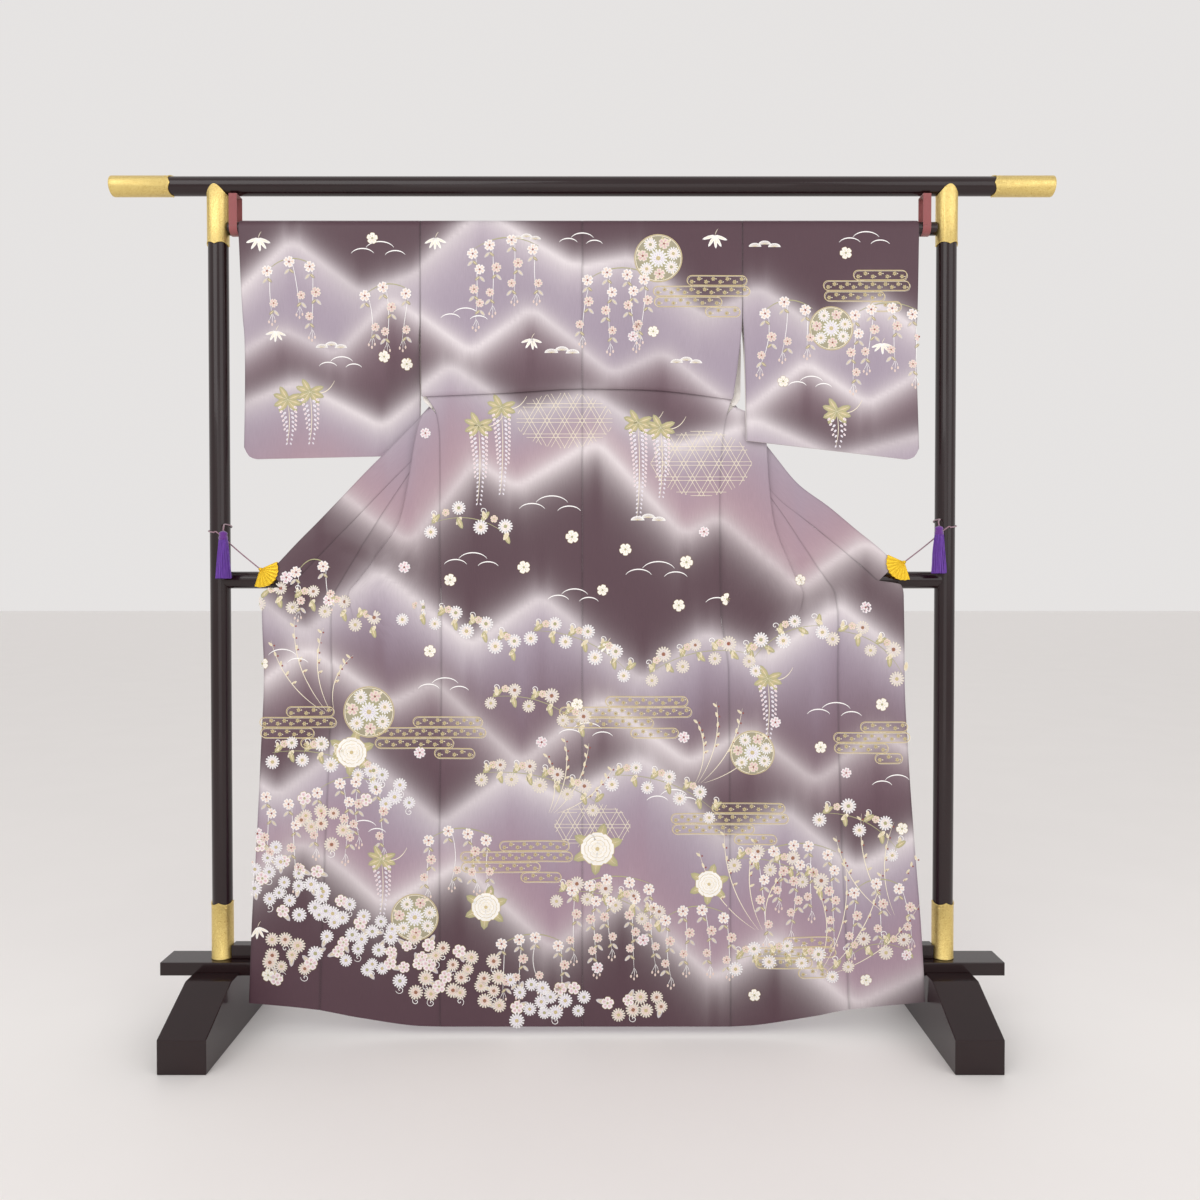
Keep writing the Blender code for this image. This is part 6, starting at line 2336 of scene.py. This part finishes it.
@dataclass
class FanTrim:
    """The raised ribs and the rivet of a fan clip, on its near and far leaf."""

    side: Side
    finish: bpy.types.Material
    radius: float = 0.036
    leaf: float = 0.0012
    relief: float = 0.0004
    ribs: int = 10
    jaw_slack: float = 0.0010
    rib_from: float = -24.0
    rib_to: float = 108.0

    def build(self) -> None:
        """Make the ribs as thin rods that spread from the pivot, with a rivet over their roots."""
        depth = clip_depth(self.side)
        jaw = SIZES.wall + SIZES.collar_lap + self.jaw_slack
        face = jaw / 2 + self.leaf + self.relief * 0.5
        spread = np.radians(np.linspace(self.rib_from, self.rib_to, self.ribs))
        rod, rod_faces = lathe(((0.00018, 0.004), (0.00045, 0.006), (0.00055, self.radius - 0.0012)), 8)
        points, faces = [], []
        total = 0
        for way in (-1, 1):
            for turn in spread:
                along = np.array([-self.side.value * math.cos(turn), 0, -math.sin(turn)])
                out = np.array([0, way, 0])
                across = np.cross(out, along)
                place = rod[:, :1] * across + rod[:, 1:2] * out * 0.8 + rod[:, 2:] * along
                points.append(place + out * face)
                faces.append(rod_faces + total)
                total += len(rod)
            rings = ((0.0030, 0.0), (0.0028, 0.0009), (0.0018, 0.0016), (0.0006, 0.0019))
            dome, dome_faces = lathe(rings, 24)
            local = np.stack([dome[:, 0], dome[:, 2] * way, -dome[:, 1] * way], axis=1)
            points.append(local + (0, way * (face - 0.0005), 0))
            faces.append(dome_faces + total)
            total += len(dome)
        at = np.array([self.side.value * clip(self.side, "x"), depth, clip(self.side, "height")])
        name = f"fan_clip_{self.side.label}_ribs"
        whole = np.concatenate(points) + at
        piece = mesh_piece(name, whole, np.concatenate(faces), [self.finish], sharp=60)
        log.info("%s: %d faces", name, len(piece.data.polygons))


@dataclass
class Strap:
    """A woven strap that hangs the pole under the beam."""

    side: Side
    finish: bpy.types.Material
    rounding: float = 0.0012

    def build(self) -> None:
        """Make the loop as a tape with softly rounded edges, in place of the solid."""
        inside = STAND.pole_radius + STAND.clearance
        top = STAND.under_beam
        wall = STAND.strap_wall
        radius = inside + wall / 2
        turn = np.linspace(0, np.pi, 33)
        low = np.stack([-radius * np.cos(turn), SIZES.pole_height - radius * np.sin(turn)], axis=1)
        rise = np.linspace(SIZES.pole_height, top - wall / 2, 24)[1:]
        right = np.stack([rise * 0 + radius, rise], axis=1)
        across = np.linspace(radius, -radius, 10)[1:-1]
        crown = np.stack([across, across * 0 + top - wall / 2], axis=1)
        left = np.stack([rise[::-1] * 0 - radius, rise[::-1]], axis=1)
        loop = np.concatenate([low, right, crown, left])
        ahead = np.roll(loop, -1, axis=0) - np.roll(loop, 1, axis=0)
        ahead /= np.linalg.norm(ahead, axis=1, keepdims=True)
        out = np.stack([ahead[:, 1], -ahead[:, 0]], axis=1)
        run = run_along(loop)
        half = STAND.strap_width / 2
        inner = half - self.rounding
        section = [(-half, -0.6), (-half, 0.6), (-inner, 1.0), (0, 0.86), (inner, 1.0)]
        section += [(half, 0.6), (half, -0.6), (inner, -1.0), (0, -0.86), (-inner, -1.0)]
        count = len(section)
        x = np.array([place[0] for place in section])
        lift = np.array([place[1] for place in section]) * wall / 2
        points = np.empty((len(loop), count, 3))
        points[..., 0] = x + self.side.value * clip(self.side, "strap_x")
        points[..., 1:] = loop[:, None, :] + out[:, None, :] * lift[None, :, None]
        index = np.arange(len(loop) * count).reshape(len(loop), count)
        beside = np.roll(index, -1, axis=1)
        after = np.roll(index, -1, axis=0)
        faces = np.stack([index, after, np.roll(after, -1, axis=1), beside], axis=2).reshape(-1, 4)
        flats = np.stack([np.broadcast_to(x, index.shape), np.repeat(run[:, None], count, axis=1)], axis=2)
        name = f"strap_{self.side.label}_tape"
        flats = flats.reshape(-1, 2)
        piece = mesh_piece(name, points.reshape(-1, 3), faces, [self.finish], None, flats, sharp=55)
        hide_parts(f"strap_{self.side.label}")
        log.info("%s: %d faces", name, len(faces))


def clip_depth(side: Side) -> float:
    """Return the depth of the middle of the cloth's layers at a clip."""
    return float(DEPTHS.read("far", clip(side, "height"))) + SIZES.collar_lap / 2


@dataclass
class ClipCord:
    """The twisted cord from a fan clip round the post to its tassel."""

    side: Side
    finish: bpy.types.Material
    sides: int = 18
    step: float = 0.0011
    strand: float = 0.00010
    twist: float = 900.0
    turn_from: float = -10.0
    turn_to: float = 290.0
    turn_points: int = 16
    climb_from: float = -0.003
    climb_to: float = 0.0135

    def route(self) -> Array:
        """Return the points that the cord passes: the pivot, once round the post, the tassel."""
        words = ("x", "height", "tassel_x", "tassel_top")
        x, height, tassel_x, top = (clip(self.side, word) for word in words)
        ring = STAND.post_radius + STAND.cord_radius + 2 * STAND.clearance
        tassel_y = STAND.tassel_depth
        reach = STAND.pivot_radius + STAND.clearance
        start = np.array([x + reach * 0.85, clip_depth(self.side), height + reach * 0.53])
        turn = np.radians(np.linspace(self.turn_from, self.turn_to, self.turn_points))
        rise = np.linspace(self.climb_from, self.climb_to, self.turn_points)
        loop = np.stack([STAND.post_x + ring * np.sin(turn), -ring * np.cos(turn), top + rise], axis=1)
        route = [start, start + (loop[0] - start) * 0.5 - (0, 0.0008, 0.001), *loop]
        route.append(np.array([STAND.post_x - ring * 0.80, -ring * 0.98, top + 0.0140]))
        route.append(np.array([tassel_x, tassel_y * 0.93, top + 0.0090]))
        route.append(np.array([tassel_x, tassel_y, top + 0.0004]))
        return np.array(route) * (self.side.value, 1, 1)

    def line(self) -> Array:
        """Return evenly spaced points on a smooth curve through the route's own points."""
        points = self.route()
        padded = np.vstack([2 * points[0] - points[1], points, 2 * points[-1] - points[-2]])
        part = np.linspace(0, 1, 12, endpoint=False)[:, None]
        curve = []
        for before, here, there, after in zip(padded, padded[1:], padded[2:], padded[3:]):
            bend = 2 * before - 5 * here + 4 * there - after
            twist = 3 * here - before - 3 * there + after
            curve.append(here + part * (there - before) / 2 + part**2 * bend / 2 + part**3 * twist / 2)
        curve = np.vstack(curve + [points[-1:]])
        run = run_along(curve)
        marks = np.linspace(0, run[-1], round(run[-1] / self.step))
        return read_line(marks, run, curve)

    def build(self) -> None:
        """Make the cord as a tube with two twisted strands.

        A ring's radius swells twice round the cord, and the swelling turns along it. The ring's
        own frame is carried along the curve without turning.
        """
        line = self.line()
        ahead = np.gradient(line, axis=0)
        ahead /= np.linalg.norm(ahead, axis=1, keepdims=True)
        up = np.cross(ahead[0], (0, 1, 0))
        frames = []
        for way in ahead:
            up = up - way * (up @ way)
            up = up / np.linalg.norm(up)
            frames.append(up)
        up = np.array(frames)
        side = np.cross(ahead, up)
        run = run_along(line)
        turn = ring_angles(self.sides)
        swell = np.cos(2 * (turn[None, :] - run[:, None] * self.twist))
        radius = STAND.cord_radius - self.strand + self.strand * swell
        rings = line[:, None, :] + radius[..., None] * (
            np.cos(turn)[None, :, None] * up[:, None, :] + np.sin(turn)[None, :, None] * side[:, None, :]
        )
        index = np.arange(rings.shape[0] * self.sides).reshape(-1, self.sides)
        faces = tube_faces(index)
        points = np.concatenate([rings.reshape(-1, 3), line[:1], line[-1:]])
        flats = np.stack(np.meshgrid(turn * STAND.cord_radius, run), axis=2).reshape(-1, 2)
        flats = np.concatenate([flats, [(0, 0), (0, run[-1])]])
        name = f"clip_cord_{self.side.label}_twist"
        piece = mesh_piece(name, points, faces, [self.finish], None, flats, sharp=80)
        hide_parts(f"clip_cord_{self.side.label}")
        exit_point = tuple(float(value) for value in self.route()[0])


@dataclass
class Tassel:
    """A silk tassel: a bound head and a skirt of strands that widens downwards."""

    side: Side
    finish: bpy.types.Material
    band: bpy.types.Material
    strands: int = 220
    golden_angle: float = 2.39996

    def head(self) -> Grid:
        """Return the head: a knot, a ribbed binding and a rounded shoulder."""
        radius = STAND.tassel_radius
        turn = ring_angles(72)
        ribs = 0.00018 * np.cos(turn * 24)
        profile = [(radius * 0.50, 0.0002), (radius * 0.98, 0.0)]
        for wrap in range(5):
            level = 0.0012 + wrap * 0.0021
            size = (1.00, 1.06, 1.05, 0.98, 0.90)[wrap] * radius
            profile += [(size - 0.0005, level - 0.0008), (size, level), (size - 0.0005, level + 0.0008)]
        profile += [
            (radius * 0.92 + ribs, 0.0123),
            (radius * 0.94 + ribs, 0.0132),
            (radius * 0.82 + ribs, 0.0150),
            (radius * 0.56 + ribs, 0.0166),
            (radius * 0.26, STAND.tassel_neck),
        ]
        return lathe(tuple(profile), 72)

    def skirt(self) -> Grid:
        """Return the strands: thin four-sided rods whose feet stand wider and sway a little.

        They are spread by the golden angle, with the distance from the middle as a square root.
        """
        order = np.arange(self.strands)
        reach = STAND.tassel_radius * 0.97 * np.sqrt((order + 0.5) / self.strands)
        turn = order * self.golden_angle
        root = np.stack([reach * np.cos(turn), reach * np.sin(turn)], axis=1)
        part = np.linspace(0, 1, 9)
        flare = 1 + (STAND.tassel_flare - 1) * part ** 0.85
        sway = 0.0009 * np.sin(order * 2.4)[:, None] * part**2
        wave = 0.00035 * np.sin(order[:, None] * 1.7 + part * 7)
        drop = STAND.tassel_length * (0.985 - 0.022 * ((order * 7) % 11) / 11)
        x = root[:, :1] * flare + sway + wave
        y = root[:, 1:] * flare + sway * 0.5 - wave
        z = 0.0015 - drop[:, None] * part
        line = np.stack([x, y, z], axis=2)
        corner = np.radians((45, 135, 225, 315))
        thick = 0.00052 * (1 + 0.55 * part)
        ring = np.stack([np.cos(corner), np.sin(corner), corner * 0], axis=1)
        rods = line[:, :, None, :] + thick[None, :, None, None] * ring[None, None]
        count = len(part) * 4
        index = np.arange(count).reshape(-1, 4)
        low, high = index[:-1], index[1:]
        sides = np.stack([low, high, np.roll(high, -1, axis=1), np.roll(low, -1, axis=1)], axis=2)
        quads = sides.reshape(-1, 4)
        tips = [index[-1:, (2, 1, 0)], index[-1:, (3, 2, 0)]]
        local = np.concatenate([quads[:, :3], quads[:, (0, 2, 3)], *tips])
        faces = order[:, None, None] * count + local[None]
        return rods.reshape(-1, 3), faces.reshape(-1, 3)

    def build(self) -> None:
        """Make the tassel in place of the solid."""
        head, head_faces = self.head()
        skirt, skirt_faces = self.skirt()
        points = np.concatenate([head, skirt])
        faces = np.concatenate([head_faces, skirt_faces + len(head)])
        slots = np.ones(len(faces), dtype=np.int32)
        slots[: len(head_faces)] = 0
        top = clip(self.side, "tassel_top")
        x = self.side.value * clip(self.side, "tassel_x")
        at = (x, STAND.tassel_depth, top - STAND.tassel_neck)
        name = f"tassel_{self.side.label}_strands"
        piece = mesh_piece(name, points + at, faces, [self.band, self.finish], slots, sharp=60)
        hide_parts(f"tassel_{self.side.label}")
        log.info("%s: %d faces", name, len(faces))


@dataclass(frozen=True)
class Studio:
    """The camera at the photo's angle, a pale floor and soft light."""

    distance: float = 1.87
    eye: float = 0.89
    offset: float = 0.035
    lens: float = 28.0
    tilt: float = 0.92
    floor_dark: Colour = (238, 235, 233)
    floor_light: Colour = (242, 239, 237)
    sky: tuple[float, ...] = (0.940, 0.918, 0.908, 1)
    sky_strength: float = 0.84

    def camera(self) -> None:
        """Place the camera and make it the scene's own."""
        data = bpy.data.cameras.new("camera")
        data.lens = self.lens
        data.sensor_width = 36
        item = bpy.data.objects.new("camera", data)
        item.location = (self.offset, -self.distance, self.eye)
        item.rotation_euler = np.radians((90 - self.tilt, 0, 0))
        bpy.context.collection.objects.link(item)
        bpy.context.scene.camera = item

    def floor(self) -> None:
        """Make the pale floor."""
        reach = 30
        corners = np.array([(-reach, -reach, 0), (reach, -reach, 0), (reach, reach, 0), (-reach, reach, 0)])
        mesh = bpy.data.meshes.new("floor")
        mesh.from_pydata(corners.tolist(), [], [(0, 1, 2, 3)])
        paint = Paint("floor", 0.55)
        cloudy = paint.noise(paint.place("Object", (1, 1, 1)), 3.0)
        shade = paint.blend(cloudy, self.floor_dark, self.floor_light)
        paint.join(shade, paint.shader.inputs["Base Color"])
        mesh.materials.append(paint.material)
        item = bpy.data.objects.new("floor", mesh)
        bpy.context.collection.objects.link(item)

    def light(self, name: str, place: Place, aim: Place, size: float, power: float) -> None:
        """Add one soft square light.

        Args:
            name: the light's name.
            place: where it stands.
            aim: the point it faces.
            size: its side.
            power: its watts.
        """
        data = bpy.data.lights.new(name, "AREA")
        data.shape = "SQUARE"
        data.size = size
        data.energy = power
        item = bpy.data.objects.new(name, data)
        item.location = place
        way = np.array(aim) - np.array(place)
        flat = math.hypot(way[0], way[1])
        item.rotation_euler = (math.atan2(flat, -way[2]), 0, math.atan2(-way[0], way[1]))
        bpy.context.collection.objects.link(item)

    def build(self) -> None:
        """Set up the camera, floor, lights and world."""
        self.floor()
        self.light("key", place=(-1.6, -3.2, 3.0), aim=(0, 0, 0.9), size=2.6, power=40)
        self.light("fill", place=(2.4, -2.8, 2.2), aim=(0, 0, 0.8), size=2.6, power=25)
        self.light("low", place=(0.0, -3.6, 0.9), aim=(0, 0, 0.6), size=2.2, power=11)
        world = bpy.data.worlds.new("studio")
        world.use_nodes = True
        shade = world.node_tree.nodes["Background"]
        shade.inputs["Color"].default_value = self.sky
        shade.inputs["Strength"].default_value = self.sky_strength
        bpy.context.scene.world = world
        bpy.context.scene.view_settings.view_transform = "Standard"


def main() -> None:
    """Build the camera, the stand and the garment, and log each piece."""
    logging.basicConfig(level=logging.INFO, format="%(message)s")
    Studio().camera()
    finishes = {
        "silk": SilkFinish("silk").make(),
        "lining": SilkFinish("lining", roughness=0.55, sheen=0.15).make(),
        "thread": ThreadFinish().make(),
    }
    cord = YarnFinish("cord", dark=(112, 78, 92), light=(176, 140, 152), bands=230.0, slant=1.0).make()
    for side in Side:
        ClipCord(side, cord).build()
    lacquer = LacquerFinish().make()
    gilt = GiltFinish("gilt", bright=(240, 216, 140), deep=(188, 148, 66)).make()
    fan_gilt = GiltFinish(
        "fan_gilt", bright=(238, 200, 60), deep=(190, 140, 22), grain=340.0, roughness=0.30, depth=0.3
    ).make()
    Rods(lacquer).build()
    Fittings(gilt).build()
    Base(lacquer, fan_gilt).build()
    tape = YarnFinish(
        "strap_tape", dark=(120, 52, 56), light=(178, 100, 100), bands=330.0, slant=0.0
    ).make()
    silk = TasselFinish().make()
    band = YarnFinish(
        "tassel_head", dark=(96, 30, 132), light=(158, 72, 178), bands=420.0, slant=0.0
    ).make()
    for side in Side:
        FanTrim(side, fan_gilt).build()
        Strap(side, tape).build()
        Tassel(side, silk, band).build()
    Kimono(finishes).build()
    Studio().build()


if __name__ == "__main__":
    main()
